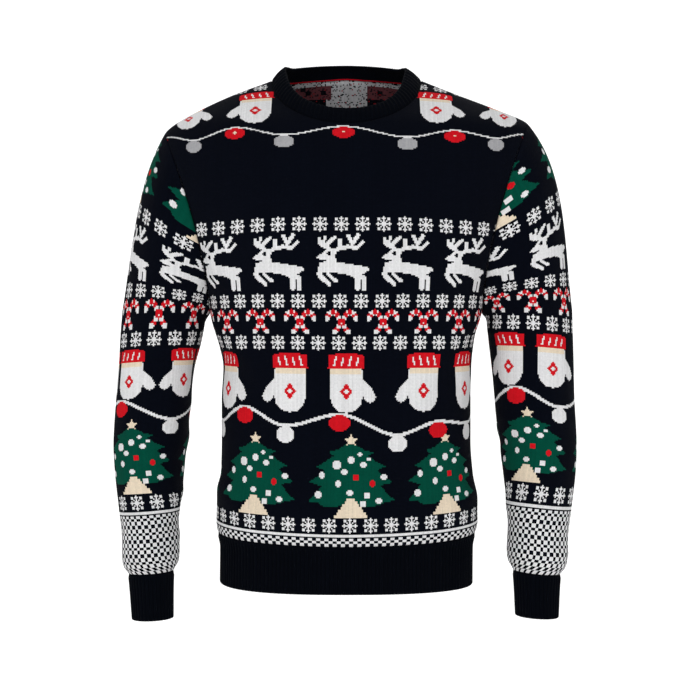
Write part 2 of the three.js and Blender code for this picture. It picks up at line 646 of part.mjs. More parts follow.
// The sleeve: from the armhole ring over the sleeve head, then down the tube
function sleeve(name, side) {
  const start = armholeRing(side);
  const first = sleeveRing(side, SLEEVE[side][0].z);
  const tilt = SLEEVE[side][0].tilt * RADIANS;
  const down = new THREE.Vector3(SIGN[side] * Math.sin(tilt), 0, -Math.cos(tilt));
  const firstRow = start.map(({ point, normal, out }, k) => {
    const way = leaving(side, (Math.PI * k) / ARMHOLE_ROWS);
    const bend = Math.max(0, Math.atan2(way.dot(normal), way.dot(out)));
    const wallWay = normal.clone().multiplyScalar(Math.cos(bend)).addScaledVector(out, -Math.sin(bend));
    const off = out.clone().multiplyScalar(SEAM_GAP * Math.cos(bend / 2));
    off.addScaledVector(normal, SEAM_GAP * Math.sin(bend / 2));
    return { point: point.clone().add(off), normal: wallWay };
  });
  const rows = [firstRow.map((v) => v.point)];
  for (let r = 1; r <= CAP_RINGS; r += 1) {
    const t = r / CAP_RINGS;
    rows.push(
      firstRow.map(({ point }, k) => {
        const turn = (Math.PI * k) / ARMHOLE_ROWS;
        const chord = point.distanceTo(first[k]);
        const a = leaving(side, turn).multiplyScalar(chord * CAP_PULL.start);
        const b = down.clone().multiplyScalar(chord * CAP_PULL.end);
        return new THREE.Vector3()
          .addScaledVector(point, (1 + 2 * t) * (1 - t) ** 2)
          .addScaledVector(a, t * (1 - t) ** 2)
          .addScaledVector(first[k], t * t * (3 - 2 * t))
          .addScaledVector(b, t * t * (t - 1));
      }),
    );
  }
  for (let r = 1; r <= SLEEVE_RINGS; r += 1) {
    rows.push(sleeveRing(side, blend(SLEEVE[side][0].z, SLEEVE_END_Z, r / SLEEVE_RINGS)));
  }
  const count = first.length;
  const normalAt = (r, c) => {
    const across = rows[r][(c + 1) % count].clone().sub(rows[r][(c + count - 1) % count]);
    const up = rows[Math.max(0, r - 1)][c].clone().sub(rows[Math.min(rows.length - 1, r + 1)][c]);
    return across.cross(up).normalize().multiplyScalar(-SIGN[side]);
  };
  const grid = rows.map((row, r) =>
    row.map((point, c) => {
      const normal = r === 0 ? firstRow[c].normal : normalAt(r, c);
      const rise = r > CAP_RINGS - 2 ? sleeveFolds(side, (2 * Math.PI * c) / count, point.z) : 0;
      return { point: point.clone().addScaledVector(normal, rise), normal };
    }),
  );
  const outer = grid.map((row) => row.map((v) => v.point));
  const inner = grid.map((row) => row.map((v) => inward(v, CLOTH)));
  return { mesh: wall(name, outer, inner, true, KNIT_NAVY), end: grid[grid.length - 1] };
}

// The cuff: ribbing from the sleeve's end to the wrist
function cuff(name, side, end) {
  const rows = [end.map((v) => ({ ...v, point: v.point.clone().setZ(v.point.z - SEAM_GAP), thick: CLOTH }))];
  for (const share of [0.12, 1]) {
    const ring = sleeveRing(side, blend(SLEEVE_END_Z, CUFF_Z[side], share));
    const middle = ring.reduce((sum, p) => sum.add(p), new THREE.Vector3()).divideScalar(ring.length);
    rows.push(
      ring.map((point) => ({
        point,
        normal: point.clone().sub(middle).setZ(0).normalize(),
        thick: RIB_CLOTH,
      })),
    );
  }
  return ribbedBand(name, rows, RIB_POINTS_PER_SLEEVE_COLUMN, true, RIB_NAVY);
}

const sweater = new THREE.Group();
sweater.add(panel("front", FRONT));
sweater.add(panel("back", BACK));
sweater.add(hemBand("hem_rib_front", FRONT));
sweater.add(hemBand("hem_rib_back", BACK));
sweater.add(neckband("neckband"));
for (const side of ["left", "right"]) {
  const { mesh, end } = sleeve(`sleeve_${side}`, side);
  sweater.add(mesh);
  sweater.add(cuff(`cuff_${side}`, side, end));
}

export default sweater;
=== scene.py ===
# %% [markdown]
# # A knitted Christmas sweater
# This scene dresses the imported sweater, a hollow crew neck that is filled out as if worn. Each
# solid is then replaced by a finer shell in which every stitch of the pattern is a small face
# of its own colour.

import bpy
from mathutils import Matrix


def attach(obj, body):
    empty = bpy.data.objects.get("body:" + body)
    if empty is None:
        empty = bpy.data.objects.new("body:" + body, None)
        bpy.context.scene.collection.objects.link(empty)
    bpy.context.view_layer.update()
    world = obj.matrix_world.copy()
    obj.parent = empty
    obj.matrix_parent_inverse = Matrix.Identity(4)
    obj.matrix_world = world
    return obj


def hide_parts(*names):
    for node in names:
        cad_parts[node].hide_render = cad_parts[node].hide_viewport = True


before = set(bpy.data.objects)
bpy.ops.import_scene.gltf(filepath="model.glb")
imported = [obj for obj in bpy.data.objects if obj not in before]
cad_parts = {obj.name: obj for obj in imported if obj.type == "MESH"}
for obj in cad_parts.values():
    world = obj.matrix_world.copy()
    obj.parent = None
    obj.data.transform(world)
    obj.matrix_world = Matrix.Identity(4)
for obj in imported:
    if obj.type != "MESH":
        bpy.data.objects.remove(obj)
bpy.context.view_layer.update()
print("nodes:", ", ".join(sorted(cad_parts)))

# %% Tools
import math

import bpy
import numpy as np
from mathutils import Vector
from mathutils.geometry import delaunay_2d_cdt

MM = 0.001  # the sizes below are in millimetres, and Blender's are in metres

# %% [markdown]
# ## Camera and light
# The photograph was taken level with the middle of the sweater, from far enough away to be
# almost free of perspective. Big soft lights from the front and a pale surround show the
# knit without hard shadows, as a product photographer's tent does.

# %% Camera at the photograph's place
EYE = (4.7, -2400.0, -364.5)
lens = bpy.data.cameras.new("photograph_view")
lens.lens = 91.4
lens.sensor_width = 36
lens.clip_end = 20
camera = bpy.data.objects.new("photograph_view", lens)
camera.location = [c * MM for c in EYE]
camera.rotation_euler = (math.radians(90), 0, 0)
bpy.context.collection.objects.link(camera)
bpy.context.scene.camera = camera
bpy.context.scene.view_settings.view_transform = "Standard"
print("camera at", tuple(round(c, 3) for c in camera.location))


# %% Soft lights
def soft_light(name, place, aim, size, power):
    """A square area light that faces a point."""
    light = bpy.data.lights.new(name, "AREA")
    light.shape = "SQUARE"
    light.size = size
    light.energy = power
    holder = bpy.data.objects.new(name, light)
    holder.location = place
    holder.rotation_euler = (Vector(aim) - Vector(place)).to_track_quat("-Z", "Y").to_euler()
    bpy.context.collection.objects.link(holder)


MIDDLE = (0, 0, -0.36)
soft_light("key_light", (-1.5, -2.3, 0.9), MIDDLE, 1.4, 34)
soft_light("fill_light", (1.7, -2.2, 0.1), MIDDLE, 1.8, 20)
soft_light("back_light", (0.3, 1.6, 1.6), MIDDLE, 1.4, 22)
world = bpy.data.worlds.new("pale_surround")
bpy.context.scene.world = world
world.use_nodes = True
world.node_tree.nodes["Background"].inputs["Color"].default_value = (1, 1, 1, 1)
world.node_tree.nodes["Background"].inputs["Strength"].default_value = 0.62

# %% [markdown]
# ## Sizes
# A knitter draws a garment as a few measurements at named heights. These tables hold the
# same measurements as the solids: how wide and deep the body is from the neck down, and where
# each sleeve's rings lie. A smooth curve runs through each column, so no step shows.

# %% Named sizes
STITCH = 1.8  # one stitch of the pattern, across and up
CLOTH = 2.2  # thickness of the double knit
ARMPIT_Z = -312
HEM_SEAM_Z = -619  # where the body's knit meets its ribbing
HEM_Z = -681
HEM_SIDE_RISE = {"left": 4, "right": 7}
NECK_HALF = 101
NECK_FRONT_Z = -69.5
NECK_BACK_Z = 11
SQUARENESS = 2.4  # exponent of the body's rounded-rectangle sections
ARMHOLE_SWEEP = 1.65  # how far the armhole seam bends in before it runs up
ROUNDING = 0.85  # how evenly the columns lie round the body below the armpit
ROUNDING_HEIGHT = 110  # height above the armpit over which that fades out
NECK_COLUMNS = 8  # columns from the middle to the end of the neck
COLUMNS = 14  # columns from the middle to the side
SLEEVE_END_Z = -661
CUFF_Z = {"left": -720, "right": -723}
FRONT, BACK = -1, 1
SIGN = {"left": 1, "right": -1}


# %% Tables of sections
def table(names, *rows):
    """Named columns from the rows of a short table."""
    return dict(zip(names.split(), np.array(rows, float).T))


DEPTH = table(
    "z front back seam",
    (11, 12, 62, 8), (0, 20, 70, 8), (-10, 31, 77, 8), (-20, 46, 83, 8), (-38, 69, 90, 8),
    (-69, 100, 98, 7), (-110, 116, 105, 5), (-160, 123, 107, 3), (-210, 124, 104, 1),
    (-312, 118, 96, 0), (-367, 112, 91, 0), (-432, 108, 88, 0), (-500, 108, 91, 0),
    (-551, 113, 97, 0), (-594, 117, 102, 0), (-612, 113, 99, 0), (-628, 106, 93, 0),
    (-682, 107, 95, 0),
)
WIDTH = {
    "left": table(
        "z half",
        (11, 75), (0, 101), (-20.4, 151), (-40.5, 202), (-58.5, 243), (-73, 259), (-98, 266),
        (-125, 258), (-155, 241), (-186, 224), (-230, 205), (-270, 192), (-312, 181),
        (-345, 173), (-389, 168), (-432, 167), (-486, 167), (-529, 170), (-560, 175),
        (-594, 176.5), (-614, 172), (-628, 169.5), (-682, 169),
    ),
    "right": table(
        "z half",
        (11, 78), (0, 101), (-18.8, 150), (-40.4, 196), (-58.5, 228), (-71.5, 244), (-90, 255),
        (-112, 259), (-150, 243), (-186, 225), (-230, 206), (-270, 193), (-312, 183),
        (-345, 175), (-389, 166), (-432, 168), (-486, 168), (-529, 169), (-551, 173),
        (-594, 175), (-614, 172), (-628, 169.5), (-682, 170),
    ),
}
TIP_Z = {"left": -58.5, "right": -71.5}
SLEEVE = {
    "left": table(
        "z x y across deep tilt",
        (-318, 247, 2, 58, 61, 7), (-346, 248.6, 1, 57, 60, 6), (-389, 251.3, -2, 55, 58, 5),
        (-432, 253.4, -5, 53.4, 56, 3), (-486, 257.2, -9, 52, 54, 1),
        (-529, 258.8, -12, 48.6, 51, -2), (-572, 258.2, -15, 43.6, 47, -5),
        (-610, 256.4, -18, 40.6, 44, -6), (-634, 255.4, -19, 41, 43, -6),
        (-649, 255, -20, 39, 40, -6), (-661, 254.6, -21, 32, 34.5, -5),
        (-723, 254.4, -25, 28.2, 31, -3),
    ),
    "right": table(
        "z x y across deep tilt",
        (-320, 247, 2, 56, 60, 9), (-346, 250.4, 1, 54.6, 60, 8), (-389, 256.4, -2, 50.6, 58, 5),
        (-432, 260, -5, 50, 56, 4), (-486, 263.4, -9, 49.6, 54, 1),
        (-529, 264.4, -12, 46.2, 51, -1), (-572, 264, -15, 41.4, 47, -4),
        (-610, 263.2, -18, 37.8, 44, -6), (-636, 262, -20, 38.6, 42, -5),
        (-650, 261.6, -21, 36.8, 39.5, -5), (-661, 261.4, -21, 30.4, 33.5, -4),
        (-725, 258.8, -25, 27, 30, -2),
    ),
}


# %% Smooth curves through the tables
def smooth(rows, name):
    """A smooth curve through one column of a table that runs downward. It never overshoots."""
    at, value = -rows["z"], rows[name]
    slope = np.diff(value) / np.diff(at)
    product = slope[:-1] * slope[1:]
    total = np.where(product > 0, slope[:-1] + slope[1:], 1)
    inner = np.where(product > 0, 2 * product / total, 0)
    tangent = np.concatenate([slope[:1], inner, slope[-1:]])

    def read(z):
        a = np.clip(-np.asarray(z, float), at[0], at[-1])
        i = np.clip(np.searchsorted(at, a, side="right") - 1, 0, len(at) - 2)
        h = at[i + 1] - at[i]
        t = (a - at[i]) / h
        ends = value[i] * (1 + 2 * t) * (1 - t) ** 2 + value[i + 1] * t * t * (3 - 2 * t)
        return ends + h * (tangent[i] * t * (1 - t) ** 2 + tangent[i + 1] * t * t * (t - 1))

    return read


DEPTH_OF = {FRONT: smooth(DEPTH, "front"), BACK: smooth(DEPTH, "back")}
SEAM_Y = smooth(DEPTH, "seam")
HALF = {side: smooth(WIDTH[side], "half") for side in SIGN}
RING = {
    side: {name: smooth(SLEEVE[side], name) for name in ("x", "y", "across", "deep", "tilt")}
    for side in SIGN
}
print("chest:", float(HALF["left"](ARMPIT_Z) + HALF["right"](ARMPIT_Z)), "mm across")

# %% [markdown]
# ## Folds
# Worn knitwear has a few soft folds where it bends: out of the armpits, above the tight
# ribbing and round the elbow. Each is a low ridge or a shallow trough between two places, and
# no two are alike. Placing them one by one keeps them where a wearer's pose would put them.

# %% Soft folds
FOLD_START = 0.28  # how soon a fold is at its highest
FOLD_FADE = 30  # depth over which a fold fades out towards the side seam
BODY_FOLDS = {
    FRONT: (
        (176, -318, 96, -392, 15, 3.2), (-178, -322, -104, -404, 15, 3.0),
        (168, -352, 112, -430, 14, -2.4), (-168, -356, -118, -438, 14, -2.2),
        (172, -560, 92, -592, 16, 2.6), (-170, -548, -98, -596, 16, 2.8),
    ),
    BACK: (
        (174, -322, 80, -380, 17, 3.4), (-176, -326, -72, -396, 17, 3.2),
        (164, -430, 30, -452, 18, 3.0), (-166, -446, -24, -470, 16, 2.6),
        (168, -556, 76, -590, 16, 2.6),
    ),
}
SLEEVE_FOLDS = {
    "left": (
        (95, -352, 185, -330, 11, 3.2), (100, -470, 190, -442, 12, 2.8),
        (120, -500, 215, -482, 11, -2.4), (200, -470, 290, -496, 13, 3.0),
        (110, -590, 205, -566, 11, 2.4), (20, -634, 120, -648, 9, 1.8),
    ),
    "right": (
        (90, -356, 185, -334, 11, 3.2), (110, -452, 200, -430, 12, 2.6),
        (100, -520, 200, -502, 12, -2.6), (195, -480, 285, -508, 13, 3.0),
        (130, -566, 215, -548, 10, 2.6), (140, -618, 220, -604, 10, 2.4),
    ),
}


def fold_height(u, v, folds):
    """Height of the folds, each given as its two ends, its half width and its rise."""
    height = np.zeros(np.broadcast(u, v).shape)
    for u1, v1, u2, v2, wide, rise in folds:
        du, dv = u2 - u1, v2 - v1
        along = np.clip(((u - u1) * du + (v - v1) * dv) / (du * du + dv * dv), 0, 1)
        away = np.hypot(u - u1 - along * du, v - v1 - along * dv)
        fade = np.sin(np.pi * (FOLD_START + (1 - FOLD_START) * along))
        height += rise * fade * np.exp(-((away / wide) ** 2))
    return height


# %% [markdown]
# ## The body's form
# A section through the chest is a rounded rectangle, fuller than an ellipse. One formula with
# the tables' widths and depths gives every point of the front and the back, so the two panels
# meet exactly at the side and shoulder seams.

# %% A point of the body
NUDGE = 0.5  # distance over which a slope is measured


def blend(a, b, t):
    return a + (b - a) * t


def ease(v):
    v = np.clip(v, 0, 1)
    return v * v * (3 - 2 * v)


def unit(v):
    return v / np.maximum(np.linalg.norm(v, axis=-1, keepdims=True), 1e-9)


def half_width(x, z):
    return np.where(x >= 0, HALF["left"](z), HALF["right"](z))


def reach(x, z):
    """How far out the section still is at x, from 1 at the centre to 0 at the seam."""
    share = np.minimum(1, np.abs(x) / half_width(x, z))
    return (1 - share**SQUARENESS) ** (1 / SQUARENESS)


def body_point(face, x, z):
    """A point on the body's outer side, and the direction that points out of the cloth."""
    deep = DEPTH_OF[face](z) * reach(x, z)
    y = SEAM_Y(z) + face * deep

    def outside(x, y, z):
        across = np.abs(x / half_width(x, z)) ** SQUARENESS
        return across + np.abs((y - SEAM_Y(z)) / DEPTH_OF[face](z)) ** SQUARENESS

    normal = unit(np.stack([
        outside(x + NUDGE, y, z) - outside(x - NUDGE, y, z),
        outside(x, y + NUDGE, z) - outside(x, y - NUDGE, z),
        outside(x, y, z + NUDGE) - outside(x, y, z - NUDGE),
    ], axis=-1))
    rise = fold_height(x, z, BODY_FOLDS[face]) * ease(deep / FOLD_FADE)
    return np.stack([x, y, z], axis=-1) + normal * rise[..., None], normal


# %% Edges of a panel
def edge_x(side, z):
    """x of the side seam and, above the armpit, of the armhole seam."""
    low, high = HALF[side](ARMPIT_Z), HALF[side](TIP_Z[side])
    share = np.clip((z - ARMPIT_Z) / (TIP_Z[side] - ARMPIT_Z), 0, 1)
    return np.where(z <= ARMPIT_Z, HALF[side](z), blend(low, high, share**ARMHOLE_SWEEP))


def top_z(side, face, x):
    """z of the panel's top edge: the neckline, and then the shoulder seam."""
    ridge = np.linspace(NECK_BACK_Z, TIP_Z[side], 800)
    share = np.clip(x / NECK_HALF, 0, 1)
    if face == FRONT:
        neck = NECK_FRONT_Z * np.sqrt(1 - share**2)
    else:
        neck = NECK_BACK_Z * (1 - share**2)
    return np.where(x < NECK_HALF, neck, np.interp(x, HALF[side](ridge), ridge))


# %% [markdown]
# ## Cloth with its own coordinates
# Knitting is a grid of stitches. To lay that grid on the form, each surface carries two more
# numbers: `s`, how far round the cloth a place lies, and `t`, how far up from the first row.
# Columns of stitches then close up at the waist and open over the chest as real ones do.

# %% Grid of a panel
BODY_STEPS, CHEST_STEPS = 100, 150
CHEST_Z = -150  # above this height the columns of stitches run straight up
CLOSING = 0.3  # how far the columns close up at the waist
SEAM_LIFT = 12  # how much higher the hem seam lies at the sides than in the middle
SEAM_BEND = 1.6  # above 1, most of that rise comes near the sides
LEVEL_AFTER = 150  # height over which the rows become level again
CROWDING = 2.5  # how closely the places of a section crowd towards the side seam
SIDE_CROWDING = 2.2  # the same for the last columns of a panel's grid
FINE_COLUMNS, FINE_SHARE = 13, 7  # up to this column, each is cut into so many


def section_length(face, x, z):
    """Length of cloth round the body from the centre to x."""
    w = 1 - (1 - np.linspace(0, 1, 49)) ** CROWDING
    across = x[..., None] * w
    y = DEPTH_OF[face](z)[..., None] * reach(across, z[..., None])
    return np.hypot(np.diff(across), np.diff(y)).sum(-1) * np.sign(x)


def chest_length(face, side, x):
    """Length of cloth from the centre to x over the chest, where it meets the armhole."""
    line = np.linspace(0, float(edge_x(side, TIP_Z[side])), 500)
    heights = np.linspace(CHEST_Z, TIP_Z[side], 200)
    z = np.interp(line, edge_x(side, heights), heights)
    signed = SIGN[side] * line
    y = [DEPTH_OF[face](z) * reach(signed + step, z) for step in (-NUDGE, NUDGE)]
    slope = np.minimum(np.abs(y[1] - y[0]) / (2 * NUDGE), 2.0)
    length = np.concatenate([[0], np.cumsum(np.hypot(1, slope)[1:] * np.diff(line))])
    return SIGN[side] * np.interp(np.abs(x), line, length)


def seam_lift(share):
    """Rise of the hem seam at a share of the way from the middle to the side."""
    return SEAM_LIFT * share**SEAM_BEND


def length_up(place, s, slant=1.0):
    """Length of cloth up from the first row, less what the columns spread sideways."""
    step = np.linalg.norm(np.diff(place, axis=0), axis=-1)
    sideways = slant * np.diff(s, axis=0) ** 2
    up = np.sqrt(np.maximum(step**2 - sideways, (0.2 * step) ** 2))
    return np.concatenate([np.zeros((1, s.shape[1])), np.cumsum(up, axis=0)])


def panel_surface(face):
    """The front or the back as a fine grid: rows go up, columns run to the seer's right."""
    side_columns = COLUMNS - (1 - np.linspace(0, 1, 15)) ** SIDE_CROWDING
    part = np.concatenate([np.arange(0, FINE_COLUMNS, 1 / FINE_SHARE), side_columns])
    rows = []
    for side in ("right", "left"):
        c = part[::-1][:-1] if side == "right" else part
        tip = float(HALF[side](TIP_Z[side]))
        neck = NECK_HALF / tip
        inner = np.sin(np.pi / 2 * c / NECK_COLUMNS) if face == FRONT else c / NECK_COLUMNS
        outer = blend(neck, 1, (c - NECK_COLUMNS) / (COLUMNS - NECK_COLUMNS))
        top_share = np.where(c > NECK_COLUMNS, outer, neck * inner)
        top = top_z(side, face, top_share * tip)
        lift = seam_lift(c / COLUMNS)
        u = np.linspace(0, 1, BODY_STEPS + 1)[:, None]
        low = blend(HEM_SEAM_Z + lift, ARMPIT_Z, u)
        w = np.linspace(0, 1, CHEST_STEPS + 1)[1:, None]
        k = w**3 * (w * (6 * w - 15) + 10)
        z = np.concatenate([low, ARMPIT_Z + (top - ARMPIT_Z) * k])
        opened = np.concatenate([0 * u, ease(k)])
        g = blend(c / COLUMNS, top_share, opened)
        round_share = blend(g, np.sin(g * np.pi / 2), ROUNDING)
        flat = ease((z - ARMPIT_Z) / ROUNDING_HEIGHT)
        x = SIGN[side] * edge_x(side, z) * blend(round_share, g, flat)
        armpit = np.full_like(z[:1], ARMPIT_Z)
        widest = section_length(face, SIGN[side] * HALF[side](armpit), armpit)
        whole = section_length(face, SIGN[side] * HALF[side](z), z)
        body = section_length(face, x, z) * blend(1, widest / whole, CLOSING)
        straight = ease((z - ARMPIT_Z) / (CHEST_Z - ARMPIT_Z))
        s = blend(body, chest_length(face, side, x), straight)
        rows.append((x, z, s, lift + 0 * z))
    x, z, s, lift = (np.concatenate(pair, axis=1) for pair in zip(*rows))
    place, normal = body_point(face, x, z)
    if face == BACK:
        place, normal, s, lift = place[:, ::-1], normal[:, ::-1], -s[:, ::-1], lift[:, ::-1]
    top_x = place[-1, :, 0]
    neck_edges = [int(np.argmin(np.abs(top_x - edge))) for edge in (-NECK_HALF, NECK_HALF)]
    t = length_up(place, s)
    t = t + lift * (1 - np.exp(-t / LEVEL_AFTER))
    return fabric(place, normal, s, t, sorted(neck_edges))


def fabric(place, normal, s, t, corners=()):
    """A surface whose two fabric coordinates count stitches."""
    return {"place": place, "normal": normal, "s": s / STITCH, "t": t / STITCH, "corners": corners}


surfaces = {"front": panel_surface(FRONT), "back": panel_surface(BACK)}
for name, made in surfaces.items():
    print(name, "is", round(float(np.ptp(made["s"]))), "stitches wide and",
          round(float(made["t"].max())), "high")

# %% [markdown]
# ## The sleeves' form
# A set-in sleeve starts at the armhole, rounds over the shoulder and then hangs as a tube.
# Its head is a bundle of smooth curves: each leaves the armhole in its own direction and
# arrives at the tube's first ring pointing down it. The rest is rings from the table.

# %% Rings and armhole
LEAVING = {
    "left": (0.66, 0.75), "right": (0.5, 0.87), "middle": (0.72, 0.68), "armpit": (0.3, 0.95),
}
LEAVING_BOW = 0.12
CAP_PULL = (0.95, 1.05)
SLEEVE_STEPS, CAP_STEPS = 110, 70
HEAD_SPREAD = 33  # how much wider the stitches lie at the top of the sleeve head, in mm
HEAD_GATHER = 1.25  # how many more rows the hidden inner side of the head takes up
HEAD_EASE = 50  # height over which that gathering sets in
SLEEVE_SLANT = 0.1  # how much the head's sideways spread shortens its rows, from 0 to 1
FOLDS_BELOW_Z = -290  # the sleeve's folds end under its head
TURNS = 240  # places round a sleeve
# Which row of the chart lies at which height up the sleeve's cloth, in mm
SLEEVE_ROWS = {
    "left": table(
        "up row",
        (0, 0), (91, 48), (122, 62), (220, 121), (249, 137), (333, 187.5), (399, 217.5),
        (511, 273.5), (656, 354),
    ),
    "right": table(
        "up row",
        (0, 0), (83, 48), (109, 62), (206, 121), (234, 137), (312, 187.5), (383, 217.5),
        (494, 273.5), (639, 354),
    ),
}


def sleeve_ring(side, turn, z):
    """Points of a sleeve's ring. The turn starts at the outer line and goes round by the front."""
    at = {name: read(z) for name, read in RING[side].items()}
    out = at["across"] * np.cos(turn)
    tilt = np.radians(at["tilt"])
    x = SIGN[side] * (at["x"] + np.cos(tilt) * out)
    return np.stack([x, at["y"] - at["deep"] * np.sin(turn), z + np.sin(tilt) * out], axis=-1)


def armhole(side, turn):
    """Points of the armhole seam, an equal length of seam apart."""
    ends = np.zeros(turn.shape + (3,))
    w = (1 - np.cos(np.linspace(0, np.pi, 600))) / 2
    heights = blend(ARMPIT_Z, TIP_Z[side], w)
    for face, part in ((FRONT, turn >= 0), (BACK, turn < 0)):
        line = body_point(face, SIGN[side] * edge_x(side, heights), heights)[0]
        length = np.concatenate([[0], np.cumsum(np.linalg.norm(np.diff(line, axis=0), axis=1))])
        wanted = (1 - np.abs(turn[part]) / np.pi) * length[-1]
        for axis in range(3):
            ends[part, axis] = np.interp(wanted, length, line[:, axis])
    return ends


def leaving(side, turn):
    """The way the cloth leaves the armhole seam."""
    share = np.abs(np.cos(turn))[:, None]
    end = np.where(np.cos(turn)[:, None] > 0, LEAVING[side], LEAVING["armpit"])
    out, down = LEAVING["middle"]
    middle = np.stack([out + 0 * turn, -LEAVING_BOW * np.sin(turn), -down + 0 * turn], axis=-1)
    edge = np.stack([end[:, 0], 0 * turn, -end[:, 1]], axis=-1)
    way = blend(middle, edge, share)
    way[:, 0] *= SIGN[side]
    return unit(way)


# %% Grid of a sleeve
def sleeve_surface(side):
    """A sleeve as a fine grid from its lower end up to the armhole seam."""
    turn = np.radians(np.linspace(180, -180, TURNS + 1)) * SIGN[side]
    first_z = SLEEVE[side]["z"][0]
    z = np.linspace(SLEEVE_END_Z, first_z, SLEEVE_STEPS + 1)[:, None] + 0 * turn
    tube = sleeve_ring(side, turn[None, :], z)
    tilt = math.radians(SLEEVE[side]["tilt"][0])
    down = np.array([SIGN[side] * math.sin(tilt), 0, -math.cos(tilt)])
    start, end = armhole(side, turn), tube[-1]
    chord = np.linalg.norm(start - end, axis=1, keepdims=True)
    a = leaving(side, turn) * chord * CAP_PULL[0]
    b = down * chord * CAP_PULL[1]
    t = np.linspace(1, 0, CAP_STEPS + 1)[1:, None, None]
    head = start * (1 + 2 * t) * (1 - t) ** 2 + a * t * (1 - t) ** 2
    head = head + end * t * t * (3 - 2 * t) + b * t * t * (t - 1)
    place = np.concatenate([tube, head])
    normal = grid_normals(place)
    rise = fold_height(np.degrees(turn) % 360, place[..., 2], SLEEVE_FOLDS[side])
    place = place + normal * (rise * (place[..., 2] < FOLDS_BELOW_Z))[..., None]
    ring = np.linalg.norm(np.diff(tube, axis=1), axis=-1)
    s = np.concatenate([np.zeros((len(tube), 1)), np.cumsum(ring, axis=1)], axis=1)
    s = s - s[:, TURNS // 2 : TURNS // 2 + 1]
    up = 1 - t[:, :, 0]
    spread = HEAD_SPREAD * up * np.sin(-turn * SIGN[side]) * np.cos(turn / 2) ** 2
    s = np.concatenate([s, s[-1] + spread])
    length = length_up(place, s, SLEEVE_SLANT)
    climbed = up * chord[:, 0]
    gather = ease(climbed / HEAD_EASE) * (1 - 0.6 * ease(climbed / HEAD_EASE - 1))
    step_up = np.diff(length[-CAP_STEPS - 1 :], axis=0)
    extra = step_up * HEAD_GATHER * (1 - np.cos(turn)) / 2 * gather
    rows = np.interp(length, *SLEEVE_ROWS[side].values()) * STITCH
    rows[-CAP_STEPS:] += np.cumsum(extra, axis=0)
    return fabric(place, normal, s, rows)


def grid_normals(place):
    """Directions out of a grid whose columns run to the right and whose rows go up."""
    across = np.gradient(place, axis=1)
    across[:, 0] = across[:, -1] = place[:, 1] - place[:, -2]
    return unit(np.cross(across, np.gradient(place, axis=0)))


for side in SIGN:
    made = surfaces["sleeve_" + side] = sleeve_surface(side)
    print("sleeve", side, "is", round(float(np.ptp(made["s"]))), "stitches round at most and",
          round(float(made["t"].max())), "high")

# %% [markdown]
# ## Charts
# A knitter works from charts in which one square is one stitch. Small motifs are written out
# here as rows of signs. Larger ones are drawn with a few strokes and shapes on squared
# paper, and only then become stitches, so they can be changed as a drawing is.

# %% Yarns and squared paper
NAVY, WHITE, RED, GREEN, BEIGE, GREY, FLOAT, RED_FLOAT = range(8)
CLEAR = -1


class Paper:
    """A small chart that starts empty. x runs to the right and y up, from the lower left."""

    def __init__(self, wide, high):
        self.yarn = np.full((high, wide), CLEAR)
        self.x, self.y = np.meshgrid(np.arange(wide) + 0.5, np.arange(high) + 0.5)

    def disc(self, x, y, rx, ry, yarn):
        self.yarn[((self.x - x) / rx) ** 2 + ((self.y - y) / ry) ** 2 <= 1] = yarn

    def shape(self, corners, yarn):
        points = np.stack([self.x.ravel(), self.y.ravel()], axis=1)
        self.yarn[inside(points, np.array(corners, float)).reshape(self.x.shape)] = yarn

    def stroke(self, points, wide, yarn, every=None):
        """A line of given width. With a length given, only every other such length is drawn."""
        gone = 0
        for (x1, y1), (x2, y2) in zip(points, points[1:]):
            dx, dy = x2 - x1, y2 - y1
            length = math.hypot(dx, dy)
            along = np.clip(((self.x - x1) * dx + (self.y - y1) * dy) / length**2, 0, 1)
            drawn = np.hypot(self.x - x1 - along * dx, self.y - y1 - along * dy) <= wide / 2
            if every:
                drawn &= np.floor((gone + along * length) / every) % 2 == 1
            self.yarn[drawn] = yarn
            gone += length


def inside(points, outline):
    """Which points lie inside a closed outline."""
    result = np.zeros(len(points), bool)
    a, b = outline, np.roll(outline, -1, axis=0)
    rise = np.where(a[:, 1] == b[:, 1], 1e-12, b[:, 1] - a[:, 1])
    for start in range(0, len(points), 4000):
        p = points[start : start + 4000, None]
        crosses = (a[:, 1] > p[..., 1]) != (b[:, 1] > p[..., 1])
        x = a[:, 0] + (p[..., 1] - a[:, 1]) * (b[:, 0] - a[:, 0]) / rise
        result[start : start + 4000] = (crosses & (p[..., 0] < x)).sum(axis=1) % 2 == 1
    return result


# %% Snowflake
SNOWFLAKE = """
.....#.....
.##.###.##.
.##..#..##.
...#.#.#...
.#..###..#.
###########
.#..###..#.
...#.#.#...
.##..#..##.
.##.###.##.
.....#.....
"""


def written(text, yarn):
    rows = [[yarn if sign == "#" else CLEAR for sign in row] for row in text.split()]
    return np.array(rows)[::-1]


snowflake = written(SNOWFLAKE, WHITE)
print("snowflake", snowflake.shape)

